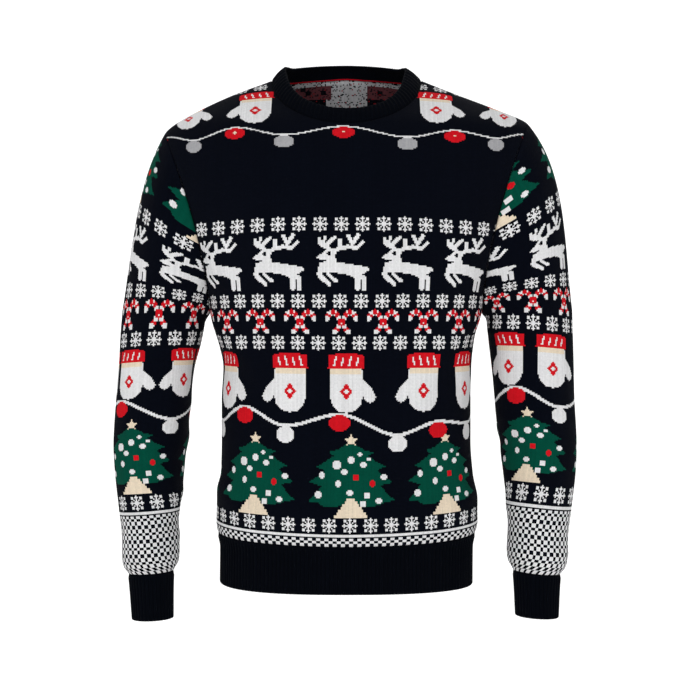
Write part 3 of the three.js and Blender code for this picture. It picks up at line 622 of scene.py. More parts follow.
# %% Reindeer
deer = Paper(38, 42)
deer.shape([(2.5, 19.5), (9, 22), (14.5, 20.5), (36.4, 16.8), (36.6, 14.3), (32, 11.5), (30.5, 9),
            (26.5, 9.5), (21, 11.5), (10, 13.3), (5, 12.5), (0.8, 13), (0.8, 15)], WHITE)
deer.shape([(6, 19), (8, 23), (7, 28), (10, 30.5), (14, 28.5), (13, 24), (14.2, 20.5)], WHITE)
deer.shape([(0, 22.8), (0.3, 24.3), (6.5, 28.5), (12, 29), (12, 22), (6, 21.8)], WHITE)
LEGS = (
    ([(2.2, 14), (2, 11.2), (8.8, 4.6)], 3.3), ([(8, 12), (14, 6.6)], 2.3),
    ([(29, 9.5), (29, 1.2)], 3), ([(30, 10), (33.7, 9), (33.7, 1.2)], 3),
)
ANTLERS = (
    ([(12, 28), (15.5, 30), (22, 31.2), (28.6, 30.6), (32.4, 34.4)], 2.8),
    ([(16.5, 30.5), (16.8, 36)], 2.8), ([(24.5, 31), (25.3, 33.5), (22.4, 38.8)], 2.8),
    ([(25.3, 33.5), (29.4, 39.6)], 2.8), ([(9.5, 29.5), (6, 31.5), (2.4, 33.6), (1.9, 37)], 2.8),
    ([(6, 31.5), (12.6, 37.6)], 2.8), ([(4.4, 33), (6.2, 37.8)], 2),
)
for points, wide in LEGS + ANTLERS:
    deer.stroke(points, wide, WHITE)
deer.disc(8.9, 26.2, 1.5, 1.5, NAVY)

# %% Crossed candy canes
canes = Paper(25, 18)
HOOK = ((-5, 1), (1, 9.5), (3.2, 14), (6, 15.8), (8.8, 14.5), (10.3, 10.8))
for yarn, every in ((WHITE, None), (RED, 2)):
    for flip in (1, -1):
        canes.stroke([(12.5 + flip * dx, y) for dx, y in HOOK], 3.4, yarn, every)

# %% Fir tree with its balls and star
tree = Paper(65, 61)
TRUNK_X = 32.5
BRANCHES = (
    (0, 53.5), (4, 52), (10, 48.5), (17, 46.5), (12.5, 44.5), (17, 41), (25.5, 36.5), (19, 34),
    (24, 29.5), (30.5, 25), (21.5, 23), (26, 17), (32, 12), (25, 11), (20, 9), (13, 7.8),
    (7, 9.5), (0, 9),
)
right = [(TRUNK_X + dx, y) for dx, y in BRANCHES]
left = [(TRUNK_X - dx, y - 0.7 * math.sin(dx)) for dx, y in BRANCHES[::-1]]
tree.shape(right + left, GREEN)
for step in range(7):
    half = 12 - 1.5 * step
    tree.shape([(TRUNK_X - half, 2 * step), (TRUNK_X + half, 2 * step),
                (TRUNK_X + half, 2 * step + 2), (TRUNK_X - half, 2 * step + 2)], BEIGE)
BALLS = table(
    "x y r yarn",
    (-10.4, 37.8, 3.3, WHITE), (0, 41.5, 2.3, WHITE), (9, 38, 2.3, WHITE), (-5, 33, 2.3, WHITE),
    (-21.5, 30.5, 2.3, WHITE), (24, 29, 2.3, WHITE), (-9.5, 24.5, 2.3, WHITE),
    (-24, 16.5, 2.3, WHITE), (-1, 18, 2.3, WHITE), (11.5, 16, 2.3, WHITE), (8.5, 10, 2.3, WHITE),
    (20, 12, 2.3, WHITE), (6.5, 45.5, 1.5, WHITE), (13, 42, 1.3, WHITE), (3.5, 29, 2.2, RED),
    (15.5, 24.5, 2.2, RED),
)
for x, y, r, yarn in zip(*BALLS.values()):
    tree.disc(TRUNK_X + x, y, r, r, int(yarn))
star = [(TRUNK_X + radius * math.sin(angle), 55.5 + 0.78 * radius * math.cos(angle))
        for angle, radius in ((k * math.pi / 5, 5.4 if k % 2 == 0 else 2.6) for k in range(10))]
tree.shape(star, BEIGE)

# %% Mitten with a red cuff
mitten = Paper(36, 43)
mitten.shape([(2, 31), (2, 12), (4, 5.5), (8.5, 1.5), (14.5, 0.3), (20.5, 1.8), (24.5, 6),
              (26, 12), (26, 31)], WHITE)
mitten.stroke([(23.5, 21), (29, 16), (31.5, 11.5)], 8, WHITE)
mitten.shape([(2.5, 28.5), (25.5, 28.5), (25.5, 32.5), (2.5, 32.5)], BEIGE)
mitten.shape([(0.5, 32.5), (27.5, 32.5), (26.5, 41.5), (20.5, 42.8), (7.5, 42.8), (1.5, 41.5)], RED)
for x in (5, 10.5, 16, 21.5):
    mitten.stroke([(x, 34.5), (x + 1.5, 40)], 1.2, WHITE)
mitten.shape([(14, 22), (9.5, 15.5), (14, 9), (18.5, 15.5)], RED)
mitten.disc(14, 15.5, 1.7, 1.7, WHITE)


# %% Garland with its balls
def garland(period, balls, sizes, wide, lamp=False):
    """A line that swings from ball to ball. Each ball has a place, a height and a yarn."""
    paper = Paper(period, 42)
    middle = period / 2
    line = []
    ends = [(x - period, y, yarn) for x, y, yarn in balls[-1:]] + list(balls)
    ends += [(x + period, y, yarn) for x, y, yarn in balls[:1]]
    for (x1, y1, yarn1), (x2, y2, yarn2) in zip(ends, ends[1:]):
        for share in np.linspace(0, 1, 9)[:-1]:
            top = blend(y1 + sizes[yarn1][1], y2 + sizes[yarn2][1], ease(share))
            line.append((middle + blend(x1, x2, share), top + 0.4))
    paper.stroke(line, wide, WHITE)
    for x, y, yarn in ends:
        paper.disc(middle + x, y, *sizes[yarn], yarn)
        if lamp and yarn == RED:
            paper.disc(middle + x, y + 0.5, 1.1, 1.1, BEIGE)
    return paper.yarn


low_garland = garland(
    320, ((-150, 20, RED), (-112, 12, WHITE), (-79.5, 25, RED), (-45.5, 12, WHITE), (-5, 21, RED),
          (38, 5.5, WHITE), (70.5, 14.5, RED), (104, 11, WHITE), (135, 20, RED)),
    {RED: (8, 5.8), WHITE: (7, 6)}, 2.3,
)
high_garland = garland(
    320, ((-150, 18, RED), (-115, 10, GREY), (-81.5, 19, RED), (-45, 10.5, GREY), (-2, 18, RED),
          (44, 8.5, GREY), (79, 16, RED), (112, 11, GREY), (145, 18, RED)),
    {RED: (8, 4.8), GREY: (7.2, 5)}, 1.2, True,
)


# %% Put the bands together
def repeat(chart, motifs, row, centre, period):
    """Repeats motifs along a band, the first of them centred on a column."""
    half = chart.shape[1] // 2
    first = math.floor((-half - centre) / period) - 1
    for n in range(first, first + math.ceil(chart.shape[1] / period) + 3):
        motif = motifs[n % len(motifs)]
        wide = motif.shape[1]
        left = half + centre + n * period - wide // 2
        for column in range(max(0, left), min(chart.shape[1], left + wide)):
            strip = motif[:, column - left]
            used = np.nonzero(strip != CLEAR)[0]
            keep = used[used + row < chart.shape[0]]
            chart[row + keep, column] = strip[keep]


flakes, figures = [snowflake], [mitten.yarn, mitten.yarn[:, ::-1]]
trees, deers, crossed = [tree.yarn], [deer.yarn], [canes.yarn]
BODY_BANDS = (
    (flakes, 11, 2, 15), (trees, 22, 3, 73), ([low_garland], 69, 0, 320), (figures, 97, 4, 50),
    (flakes, 142, -6, 15), (crossed, 154, -4, 30), (flakes, 172, -5, 15), (deers, 185, -2, 46),
    (flakes, 227, -4, 15), ([high_garland], 283, 0, 320), (figures, 310, -24, 47),
    (flakes, 356, -5, 15),
)
SLEEVE_BANDS = {
    "left": (
        (trees, 280, 1, 71), (flakes, 50, 2, 15), (trees, 62, 14, 71), ([low_garland], 105, 14, 320),
        (figures, 137, -33, 43), (flakes, 182, 7, 15), (crossed, 194, -53, 28), (flakes, 212, 6, 15),
        (deers, 225, 11, 46), (flakes, 268, -3, 15),
    ),
    "right": (
        (trees, 279, 4, 71), (flakes, 50, 2, 15), (trees, 62, 33, 71), ([low_garland], 109, 26, 320),
        (figures, 137, 33, 38), (flakes, 182, 3, 15), (crossed, 194, 50, 28), (flakes, 212, 4, 15),
        (deers, 225, 23, 46), (flakes, 268, 2, 15),
    ),
}
LEFT_TO_RIGHT = 320  # columns in a chart
CHART_ROWS = 430
COLLAR_HALF, COLLAR_ROWS = 48, slice(309, 356)  # squares under the collar, left plain
BODY_BLOCK, SLEEVE_BLOCK = (3, 2.5), (2.5, 2.75)  # columns and rows of a checkered block


def whole_chart(bands, checkered, block):
    """The bands one above the other, over some rows of checkered ground and a plain line."""
    chart = np.full((CHART_ROWS, LEFT_TO_RIGHT), NAVY)
    row, column = np.mgrid[0:checkered, 0:LEFT_TO_RIGHT]
    even = (row // block[1] + column // block[0]) % 2 == 0
    chart[:checkered] = np.where(even, WHITE, NAVY)
    chart[checkered + 1 : checkered + 3] = WHITE
    for band in bands:
        repeat(chart, *band)
    return chart


charts = {"sleeve_" + side: whole_chart(SLEEVE_BANDS[side], 46, SLEEVE_BLOCK) for side in SIGN}
charts["back"] = whole_chart(BODY_BANDS, 7, BODY_BLOCK)
charts["front"] = charts["back"].copy()
under_collar = slice(LEFT_TO_RIGHT // 2 - COLLAR_HALF, LEFT_TO_RIGHT // 2 + COLLAR_HALF)
charts["front"][COLLAR_ROWS, under_collar] = NAVY
print("charts of", charts["front"].shape, "stitches")

# %% [markdown]
# ## Knitting a sheet
# Every stitch becomes one square face, found by searching the surface for the place with the
# right `s` and `t`. Near an edge the squares don't fit, so a strip of triangles joins them to
# the outline. A second, coarser layer is the inner side, and a rim closes the two.

# %% Read a surface between its grid points
def between(grid, column, row):
    """Values of a grid at fractional places, and how they change along columns and rows."""
    i = np.clip(np.floor(column).astype(int), 0, grid.shape[1] - 2)
    j = np.clip(np.floor(row).astype(int), 0, grid.shape[0] - 2)
    u, v = column - i, row - j
    if grid.ndim == 3:
        u, v = u[:, None], v[:, None]
    a, b, c, d = grid[j, i], grid[j, i + 1], grid[j + 1, i], grid[j + 1, i + 1]
    value = a * (1 - u) * (1 - v) + b * u * (1 - v) + c * (1 - u) * v + d * u * v
    return value, (b - a) * (1 - v) + (d - c) * v, (c - a) * (1 - u) + (d - b) * u


SEARCH_STEPS = 90
LONGEST_STEP = 8  # in columns and rows of the grid


def locate(surface, s, t):
    """Grid places of given fabric coordinates, by Newton's method.

    It doesn't settle for some stitches at the top of the back's armholes, which leaves a
    streaked wedge there. The last value says how far off each place still is.
    """
    rows, columns = surface["s"].shape
    middle = surface["t"][:, columns // 2]
    row = np.interp(t, middle, np.arange(rows))
    near = np.clip(np.round(row).astype(int), 0, rows - 1)
    column = np.zeros(len(s))
    for j in np.unique(near):
        column[near == j] = np.interp(s[near == j], surface["s"][j], np.arange(columns))
    for _ in range(SEARCH_STEPS):
        s_now, s_c, s_r = between(surface["s"], column, row)
        t_now, t_c, t_r = between(surface["t"], column, row)
        size = s_c * t_r - s_r * t_c
        size = np.where(np.abs(size) < 1e-9, 1e-9, size)
        ds, dt = s - s_now, t - t_now
        right = np.clip((ds * t_r - dt * s_r) / size, -LONGEST_STEP, LONGEST_STEP)
        up = np.clip((dt * s_c - ds * t_c) / size, -LONGEST_STEP, LONGEST_STEP)
        column = np.clip(column + right, 0, columns - 1)
        row = np.clip(row + up, 0, rows - 1)
    s_now, t_now = (between(surface[name], column, row)[0] for name in "st")
    return column, row, np.hypot(s_now - s, t_now - t)


# %% Outline of a sheet
def border(surface):
    """Grid places about one stitch apart all round a surface, with its corners among them."""
    rows, columns = surface["s"].shape
    top = [columns - 1, *reversed(surface["corners"]), 0]
    ends = [((0, 0), (columns - 1, 0)), ((columns - 1, 0), (columns - 1, rows - 1))]
    ends += [((a, rows - 1), (b, rows - 1)) for a, b in zip(top, top[1:])]
    ends += [((0, rows - 1), (0, 0))]
    places = []
    for (c1, r1), (c2, r2) in ends:
        steps = max(abs(c2 - c1), abs(r2 - r1))
        w = np.arange(steps + 1) / steps
        column, row = blend(c1, c2, w), blend(r1, r2, w)
        s, t = between(surface["s"], column, row)[0], between(surface["t"], column, row)[0]
        length = np.concatenate([[0], np.cumsum(np.hypot(np.diff(s), np.diff(t)))])
        count = max(2, round(length[-1]))
        wanted = np.linspace(0, length[-1], count + 1)[:-1]
        w = np.interp(wanted, length, w)
        places.append(np.stack([blend(c1, c2, w), blend(r1, r2, w)], axis=1))
    return np.concatenate(places)


# %% Squares inside the outline and triangles along it
CLEARANCE = 0.12  # a square this near the outline is left out, as a share of its side
LOOSE_GAP = 0.35  # a lone place this near the outline is left out


def stitch_faces(surface, edge, step):
    """Places and faces of one layer. The outline's places come first."""
    s, t = (between(surface[name], edge[:, 0], edge[:, 1])[0] for name in "st")
    line = np.stack([s, t], axis=1) / step
    fine = np.concatenate([blend(line, np.roll(line, -1, axis=0), k / 8) for k in range(8)])
    low = np.floor(line.min(axis=0)).astype(int) - 1
    wide, high = np.ceil(line.max(axis=0)).astype(int) + 2 - low
    gs, gt = np.meshgrid(np.arange(wide) + low[0], np.arange(high) + low[1])
    nodes = np.stack([gs.ravel(), gt.ravel()], axis=1)
    within = inside(nodes + 1e-6, line).reshape(high, wide)
    crossed = np.zeros((high, wide), bool)
    for right, up in ((1, 1), (-1, 1), (1, -1), (-1, -1)):
        cell = np.floor(fine + (right * CLEARANCE, up * CLEARANCE)).astype(int) - low
        crossed[cell[:, 1], cell[:, 0]] = True
    kept = within[:-1, :-1] & within[:-1, 1:] & within[1:, :-1] & within[1:, 1:]
    kept &= ~crossed[:-1, :-1]
    used = np.zeros((high, wide), bool)
    for dj, di in ((0, 0), (0, 1), (1, 0), (1, 1)):
        used[dj : high - 1 + dj, di : wide - 1 + di] |= kept
    loose = np.nonzero((within & ~used).ravel())[0]
    gap = [np.abs(fine - nodes[k]).max(axis=1).min() for k in loose]
    loose = loose[np.array(gap) > LOOSE_GAP] if len(loose) else loose
    used.ravel()[loose] = True
    number = np.full(high * wide, -1)
    number[used.ravel()] = len(line) + np.arange(used.sum())
    places = np.concatenate([line, nodes[used.ravel()]])
    j, i = np.nonzero(kept)
    corner = j * wide + i
    quads = number[np.stack([corner, corner + 1, corner + wide + 1, corner + wide], axis=1)]
    sides = np.concatenate([quads[:, [k, (k + 1) % 4]] for k in range(4)])
    both, uses = np.unique(np.sort(sides, axis=1), axis=0, return_counts=True)
    edges = [tuple(map(int, e)) for e in both[uses == 1]]
    count = len(line)
    edges += [(k, (k + 1) % count) for k in range(count)]
    members = sorted({k for e in edges for k in e} | {int(number[k]) for k in loose})
    index = {k: n for n, k in enumerate(members)}
    coords = [Vector((float(places[k][0]), float(places[k][1]))) for k in members]
    cut = delaunay_2d_cdt(coords, [(index[a], index[b]) for a, b in edges], [], 0, 1e-6)
    real = [members[origin[0]] if origin else -1 for origin in cut[3]]
    triangles = np.array([[real[k] for k in face] for face in cut[2] if len(face) == 3])
    triangles = triangles[(triangles >= 0).all(axis=1)]
    centre = places[triangles].mean(axis=1)
    cell = np.clip(np.floor(centre).astype(int) - low, 0, [wide - 2, high - 2])
    good = inside(centre, line) & ~kept[cell[:, 1], cell[:, 0]]
    return places * step, quads, triangles[good]


# %% One knitted piece
INNER_STEP = 4  # a square of the inner layer covers so many stitches each way
OUTER_TUCK, INNER_TUCK = 0.9, 0.3  # how far the two layers lean together at the rim
# FLOAT is the white yarn's floats on the wrong side, painted light grey as shade of the sweater's
# inside.
YARN_COLOURS = {
    NAVY: (5, 8, 18), WHITE: (236, 236, 237), RED: (214, 22, 34), GREEN: (2, 74, 58),
    BEIGE: (240, 223, 198), GREY: (172, 172, 175), FLOAT: (205, 205, 208), RED_FLOAT: (112, 62, 68),
}


def linear(colour):
    """A screen colour from 0 to 255 as the light that Blender reckons with."""
    c = np.array(colour) / 255
    return np.where(c <= 0.04045, c / 12.92, ((c + 0.055) / 1.055) ** 2.4)


def new_object(name, points, faces):
    mesh = bpy.data.meshes.new(name)
    mesh.from_pydata((np.asarray(points) * MM).tolist(), [], faces)
    mesh.shade_smooth()
    made = bpy.data.objects.new(name, mesh)
    bpy.context.collection.objects.link(made)
    return made


def set_fabric(mesh, coordinates):
    """Stores the stitch coordinates of each vertex for the materials to read."""
    layer = mesh.attributes.new("fabric", "FLOAT_VECTOR", "POINT")
    flat = np.zeros((len(mesh.vertices), 3))
    flat[:, :2] = coordinates
    layer.data.foreach_set("vector", flat.ravel())


def knit(name, surface, chart):
    """A double-faced sheet of knitting, one face a stitch."""
    edge = border(surface)
    points, faces, coordinates, yarn, inner_side = [], [], [], [], []
    offset = 0
    for step, thick in ((1, 0.0), (INNER_STEP, CLOTH)):
        places, quads, triangles = stitch_faces(surface, edge, step)
        column, row, left = locate(surface, places[len(edge):, 0], places[len(edge):, 1])
        column = np.concatenate([edge[:, 0], column])
        row = np.concatenate([edge[:, 1], row])
        place = between(surface["place"], column, row)[0]
        normal = unit(between(surface["normal"], column, row)[0])
        depth = np.full(len(place), thick)
        depth[: len(edge)] += OUTER_TUCK if step == 1 else -INNER_TUCK
        points.append(place - normal * depth[:, None])
        coordinates.append(places)
        order = -1 if thick else 1
        for group in (quads, triangles):
            centre = np.floor(places[group].mean(axis=1)).astype(int)
            rows_of = np.clip(centre[:, 1], 0, chart.shape[0] - 1)
            columns_of = np.clip(centre[:, 0] + LEFT_TO_RIGHT // 2, 0, LEFT_TO_RIGHT - 1)
            shown = chart[rows_of, columns_of]
            # Where the front shows navy, the wrong side shows white floats, in a grey that is
            # painted shade.
            reverse = np.where(shown == NAVY, FLOAT, np.where(shown == RED, RED_FLOAT, NAVY))
            yarn.append(reverse if thick else shown)
            inner_side.append(np.full(len(group), thick > 0))
            faces += (group[:, ::order] + offset).tolist()
        print(name, "layer:", len(quads), "squares,", len(triangles), "triangles, worst miss",
              round(float(left.max()), 3))
        offset += len(place)
    inner_start = len(points[0])
    count = len(edge)
    for k in range(count):
        n = (k + 1) % count
        faces.append([n, k, inner_start + k, inner_start + n])
    yarn.append(np.zeros(count, int))
    inner_side.append(np.ones(count, bool))
    made = new_object(name, np.concatenate(points), faces)
    set_fabric(made.data, np.concatenate(coordinates))
    palette = np.array([(*linear(YARN_COLOURS[k]), 1) for k in range(len(YARN_COLOURS))])
    layer = made.data.color_attributes.new("yarn", "FLOAT_COLOR", "CORNER")
    sizes = np.array([len(f) for f in faces])
    layer.data.foreach_set("color", np.repeat(palette[np.concatenate(yarn)], sizes, axis=0).ravel())
    made.data.polygons.foreach_set("material_index", np.concatenate(inner_side).astype(int))
    print(name, "has", len(made.data.polygons), "faces")
    return made, polygon_area(border_line(surface, edge)) * (STITCH * MM) ** 2


def border_line(surface, edge):
    return np.stack([between(surface[n], edge[:, 0], edge[:, 1])[0] for n in "st"], axis=1)


def polygon_area(line):
    x, y = line[:, 0], line[:, 1]
    return abs(float((x * np.roll(y, -1) - y * np.roll(x, -1)).sum() / 2))


# %% [markdown]
# ## Knit materials
# Up close a stitch is a V of two yarn legs. One node group draws it from the stitch
# coordinates: it paints shade into the holes between the legs, which leaves the legs lighter,
# and gives a height for the bump. Colour comes from the face's own yarn, with slight
# unevenness from stitch to stitch.


# %% Helpers for nodes
def math_node(tree, kind, a, b=None):
    node = tree.nodes.new("ShaderNodeMath")
    node.operation = kind
    for socket, value in zip(node.inputs, (a, b)):
        if isinstance(value, (int, float)):
            socket.default_value = value
        elif value is not None:
            tree.links.new(value, socket)
    return node.outputs[0]


def mix_colour(tree, kind, factor, a, b):
    node = tree.nodes.new("ShaderNodeMix")
    node.data_type = "RGBA"
    node.blend_type = kind
    for socket, value in zip((node.inputs[0], node.inputs[6], node.inputs[7]), (factor, a, b)):
        if isinstance(value, bpy.types.NodeSocket):
            tree.links.new(value, socket)
        else:
            socket.default_value = value
    return node.outputs[2]


# %% Stitch group
def stitch_group():
    """V-shaped stitches with painted shade in the holes between their legs, and yarn that is a
    little uneven and fuzzy.
    """
    group = bpy.data.node_groups.new("knit stitches", "ShaderNodeTree")
    for name, kind in (("Fabric", "NodeSocketVector"), ("Yarn", "NodeSocketColor"),
                       ("Hole shade", "NodeSocketFloat"), ("Unevenness", "NodeSocketFloat")):
        group.interface.new_socket(name, in_out="INPUT", socket_type=kind)
    for name, kind in (("Colour", "NodeSocketColor"), ("Height", "NodeSocketFloat")):
        group.interface.new_socket(name, in_out="OUTPUT", socket_type=kind)
    start = group.nodes.new("NodeGroupInput")
    end = group.nodes.new("NodeGroupOutput")

    def do(kind, a, b=None):
        return math_node(group, kind, a, b)

    def peak(value):
        """1 in the middle of each unit and 0 at its ends."""
        return do("SUBTRACT", 1, do("ABSOLUTE", do("SUBTRACT", do("MULTIPLY", value, 2), 1)))

    split = group.nodes.new("ShaderNodeSeparateXYZ")
    group.links.new(start.outputs["Fabric"], split.inputs[0])
    side = do("MULTIPLY", do("ABSOLUTE", do("SUBTRACT", do("FRACT", split.outputs[0]), 0.5)), 2)
    slant = do("FRACT", do("SUBTRACT", split.outputs[1], do("MULTIPLY", side, 0.55)))
    height = do("MULTIPLY", do("POWER", peak(side), 0.5), do("POWER", peak(slant), 0.35))
    whole = group.nodes.new("ShaderNodeVectorMath")
    whole.operation = "FLOOR"
    group.links.new(start.outputs["Fabric"], whole.inputs[0])
    single = group.nodes.new("ShaderNodeTexWhiteNoise")
    single.noise_dimensions = "2D"
    group.links.new(whole.outputs[0], single.inputs["Vector"])
    column = group.nodes.new("ShaderNodeTexWhiteNoise")
    column.noise_dimensions = "1D"
    group.links.new(do("FLOOR", split.outputs[0]), column.inputs["W"])
    clouds = []
    for scale in (3.1, 0.035):
        cloud = group.nodes.new("ShaderNodeTexNoise")
        cloud.inputs["Scale"].default_value = scale
        group.links.new(start.outputs["Fabric"], cloud.inputs["Vector"])
        clouds.append(cloud.outputs[0])
    # Random tone from stitch to stitch, from column to column and in broad clouds. The painted hole
    # shade is multiplied into it below.
    tone_and_hole_shade = -1.0
    by_stitch, by_column = single.outputs["Value"], column.outputs["Value"]
    for value, share in ((by_stitch, 0.5), (by_column, 0.6), (clouds[1], 0.9)):
        tone_and_hole_shade = do("ADD", do("MULTIPLY", value, share), tone_and_hole_shade)
    tone_and_hole_shade = do("ADD", 1, do("MULTIPLY", tone_and_hole_shade, start.outputs["Unevenness"]))
    # Painted shade: the holes between the yarn legs are darkened in the colour, by the share given.
    shade_in_hole = do("MULTIPLY", do("SUBTRACT", 1, height), start.outputs["Hole shade"])
    tone_and_hole_shade = do("MULTIPLY", tone_and_hole_shade, do("SUBTRACT", 1, shade_in_hole))
    grey = group.nodes.new("ShaderNodeCombineColor")
    for socket in grey.inputs[:3]:
        group.links.new(tone_and_hole_shade, socket)
    colour = mix_colour(group, "MULTIPLY", 1.0, start.outputs["Yarn"], grey.outputs[0])
    group.links.new(colour, end.inputs["Colour"])
    group.links.new(do("ADD", height, do("MULTIPLY", clouds[0], 0.3)), end.inputs["Height"])
    return group


knit_stitches = stitch_group()


# %% Materials of the sweater
def attribute(tree, name, output):
    node = tree.nodes.new("ShaderNodeAttribute")
    node.attribute_name = name
    return node.outputs[output]


def yarn_material(name, yarn, hole_shade, uneven, deep):
    """A knit finish. The yarn is a colour, or the name of a colour that the faces carry."""
    material = bpy.data.materials.new(name)
    material.use_nodes = True
    tree = material.node_tree
    shader = tree.nodes["Principled BSDF"]
    stitches = tree.nodes.new("ShaderNodeGroup")
    stitches.node_tree = knit_stitches
    tree.links.new(attribute(tree, "fabric", "Vector"), stitches.inputs["Fabric"])
    if isinstance(yarn, str):
        tree.links.new(attribute(tree, yarn, "Color"), stitches.inputs["Yarn"])
    else:
        stitches.inputs["Yarn"].default_value = (*linear(yarn), 1)
    # Share of painted shade in the holes between the stitch legs.
    stitches.inputs["Hole shade"].default_value = hole_shade
    stitches.inputs["Unevenness"].default_value = uneven
    tree.links.new(stitches.outputs["Colour"], shader.inputs["Base Color"])
    bump = tree.nodes.new("ShaderNodeBump")
    bump.inputs["Distance"].default_value = deep * MM
    tree.links.new(stitches.outputs["Height"], bump.inputs["Height"])
    tree.links.new(bump.outputs[0], shader.inputs["Normal"])
    shader.inputs["Roughness"].default_value = 1
    shader.inputs["Specular IOR Level"].default_value = 0.03
    shader.inputs["Sheen Weight"].default_value = 0.005
    shader.inputs["Sheen Roughness"].default_value = 0.5
    return material, tree, stitches


# The third number of a finish is the share of painted shade in its stitch holes.
pattern_knit = yarn_material("pattern knit", "yarn", 0.34, 0.2, 0.5)[0]
rib_knit = yarn_material("navy ribbing", (3, 5, 11), 0.35, 0.2, 0.5)[0]
linking_yarn = yarn_material("red linking yarn", (190, 18, 32), 0.3, 0.2, 0.4)[0]

# %% Wrong side of the knit
wrong_side, wrong_tree, stitches = yarn_material("wrong side", "yarn", 0.35, 0.3, 0.6)
cell = wrong_tree.nodes.new("ShaderNodeVectorMath")
cell.operation = "FLOOR"
wrong_tree.links.new(attribute(wrong_tree, "fabric", "Vector"), cell.inputs[0])
chance = wrong_tree.nodes.new("ShaderNodeTexWhiteNoise")
chance.noise_dimensions = "2D"
wrong_tree.links.new(cell.outputs[0], chance.inputs["Vector"])
dark_speck = math_node(wrong_tree, "LESS_THAN", chance.outputs["Value"], 0.16)
red_speck = math_node(wrong_tree, "GREATER_THAN", chance.outputs["Value"], 0.97)
own = attribute(wrong_tree, "yarn", "Color")
speckled = mix_colour(wrong_tree, "MIX", dark_speck, own, (*linear((30, 31, 38)), 1))
speckled = mix_colour(wrong_tree, "MIX", red_speck, speckled, (*linear((150, 30, 38)), 1))
wrong_tree.links.new(speckled, stitches.inputs["Yarn"])

# %% [markdown]
# ## The knitted pieces
# Front, back and sleeves are knitted to the chart. Each rides on the one body and stands in
# for its solid, and the area of its cut is printed.


# %% Knit the four pieces
def dress(piece, node):
    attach(piece, "root")
    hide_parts(node)


for node, surface in surfaces.items():
    piece, area = knit("knit_" + node, surface, charts[node])
    piece.data.materials.append(pattern_knit)
    piece.data.materials.append(wrong_side)
    dress(piece, node)
    flat = [float(np.ptp(surface[n])) * STITCH * MM for n in "st"]
    print(node, "cut:", [round(v, 3) for v in flat], "area", round(area, 4))

# %% [markdown]
# ## Ribbing
# The neckband, hem and cuffs are ribbed: a raised column and a sunken one in turn, which pull
# the edge in. These ribs are real ridges, because they show against the light along the
# edges. The band is one loop in section: down the outer side, round the edge and up inside.

# %% A ribbed band
RIB_RISE = 0.9
RIB_POINTS = 9  # places round the band for each rib
RIB_CLOTH = 3.0
RIB_STITCH = 2.4  # height of a stitch of the ribbing
LINKING = 1.7  # height of the row of linking stitches inside the seam


def rib_shape(place, count):
    """Height of the ribs from the bottom of a valley (0) to a crest (1)."""
    return np.abs(np.sin(np.pi * place * count)) ** 0.8


def ribbed(name, path, count, length, thick, closed, linked=False):
    """A band of ribs along a path(place, share), share going from the seam to the free edge."""
    columns = count * RIB_POINTS
    place = np.arange(columns + (0 if closed else 1)) / columns
    radius = thick / 2
    steps = max(6, round(length / 3))
    outer = np.linspace(0, 1 - radius / length, steps)
    profile = [(share, 0.0, 1.0) for share in outer]
    for angle in np.radians([30, 60, 90, 120, 150]):
        share = 1 - radius / length * (1 - math.sin(angle))
        profile.append((share, radius * (1 - math.cos(angle)), 0.5 + 0.5 * math.cos(angle)))
    profile += [(share, thick, -0.35) for share in outer[:0:-1]]
    profile += [(share, thick, -0.35) for share in (LINKING / length, 0)]
    rows, heights = [], []
    for share, sunk, ribs in profile:
        point, normal = path(place, share)
        start = ease(share / 0.1)
        tucked = 0.9 * (1 - start) * (sunk == 0)
        lift = (1.5 * rib_shape(place, count) - 0.6) * RIB_RISE * ribs * start - tucked
        rows.append(point + normal * (lift - sunk)[:, None])
        heights.append(np.full(len(place), share * length + sunk))
    grid = np.stack(rows)
    high, wide = grid.shape[:2]
    j, i = np.meshgrid(np.arange(high), np.arange(columns), indexing="ij")
    following = (i + 1) % wide
    up = (j + 1) % high
    corners = [j * wide + i, up * wide + i, up * wide + following, j * wide + following]
    faces = np.stack(corners, axis=-1).reshape(-1, 4).tolist()
    if not closed:
        faces += [[row * wide for row in range(high)][::-1],
                  [row * wide + wide - 1 for row in range(high)]]
    made = new_object(name, grid.reshape(-1, 3), faces)
    rib = np.tile(place * count, (high, 1))
    set_fabric(made.data, np.stack([rib.ravel(), -np.stack(heights).ravel() / RIB_STITCH], axis=1))
    made.data.materials.append(rib_knit)
    if linked:
        made.data.materials.append(linking_yarn)
        for face in made.data.polygons[(high - 2) * columns : (high - 1) * columns]:
            face.material_index = 1
    print(name, "has", count, "ribs and", len(made.data.polygons), "faces")
    return made


# %% Hem
HEM_RIBS, HEM_HEIGHT = 84, 62
HEM_MIDDLE_Z = -650  # where the length of the band is measured


def hem_path(face):
    """The hem band across one panel, from the seer's left to right."""
    line = {}
    for side in SIGN:
        width = float(HALF[side](HEM_MIDDLE_Z))
        share = 1 - (1 - np.linspace(0, 1, 400)) ** CROWDING
        x = SIGN[side] * width * share
        line[side] = (share, np.abs(section_length(face, x, 0 * x + HEM_MIDDLE_Z)))
    total = {side: line[side][1][-1] for side in SIGN}
    around = sum(total.values())

    def path(place, share):
        seen_from_front = place if face == FRONT else 1 - place
        along = seen_from_front * around - total["right"]
        left = along >= 0
        g = np.where(left, along / total["left"], -along / total["right"])
        rise = np.where(left, HEM_SIDE_RISE["left"], HEM_SIDE_RISE["right"])
        z = blend(HEM_SEAM_Z + seam_lift(g), HEM_Z + rise * g**3, share)
        x = np.zeros(len(place))
        for side, part in (("left", left), ("right", ~left)):
            q = np.interp(np.abs(along[part]), line[side][1], line[side][0])
            x[part] = SIGN[side] * q * HALF[side](z[part])
        return body_point(face, x, z)

    return path, around


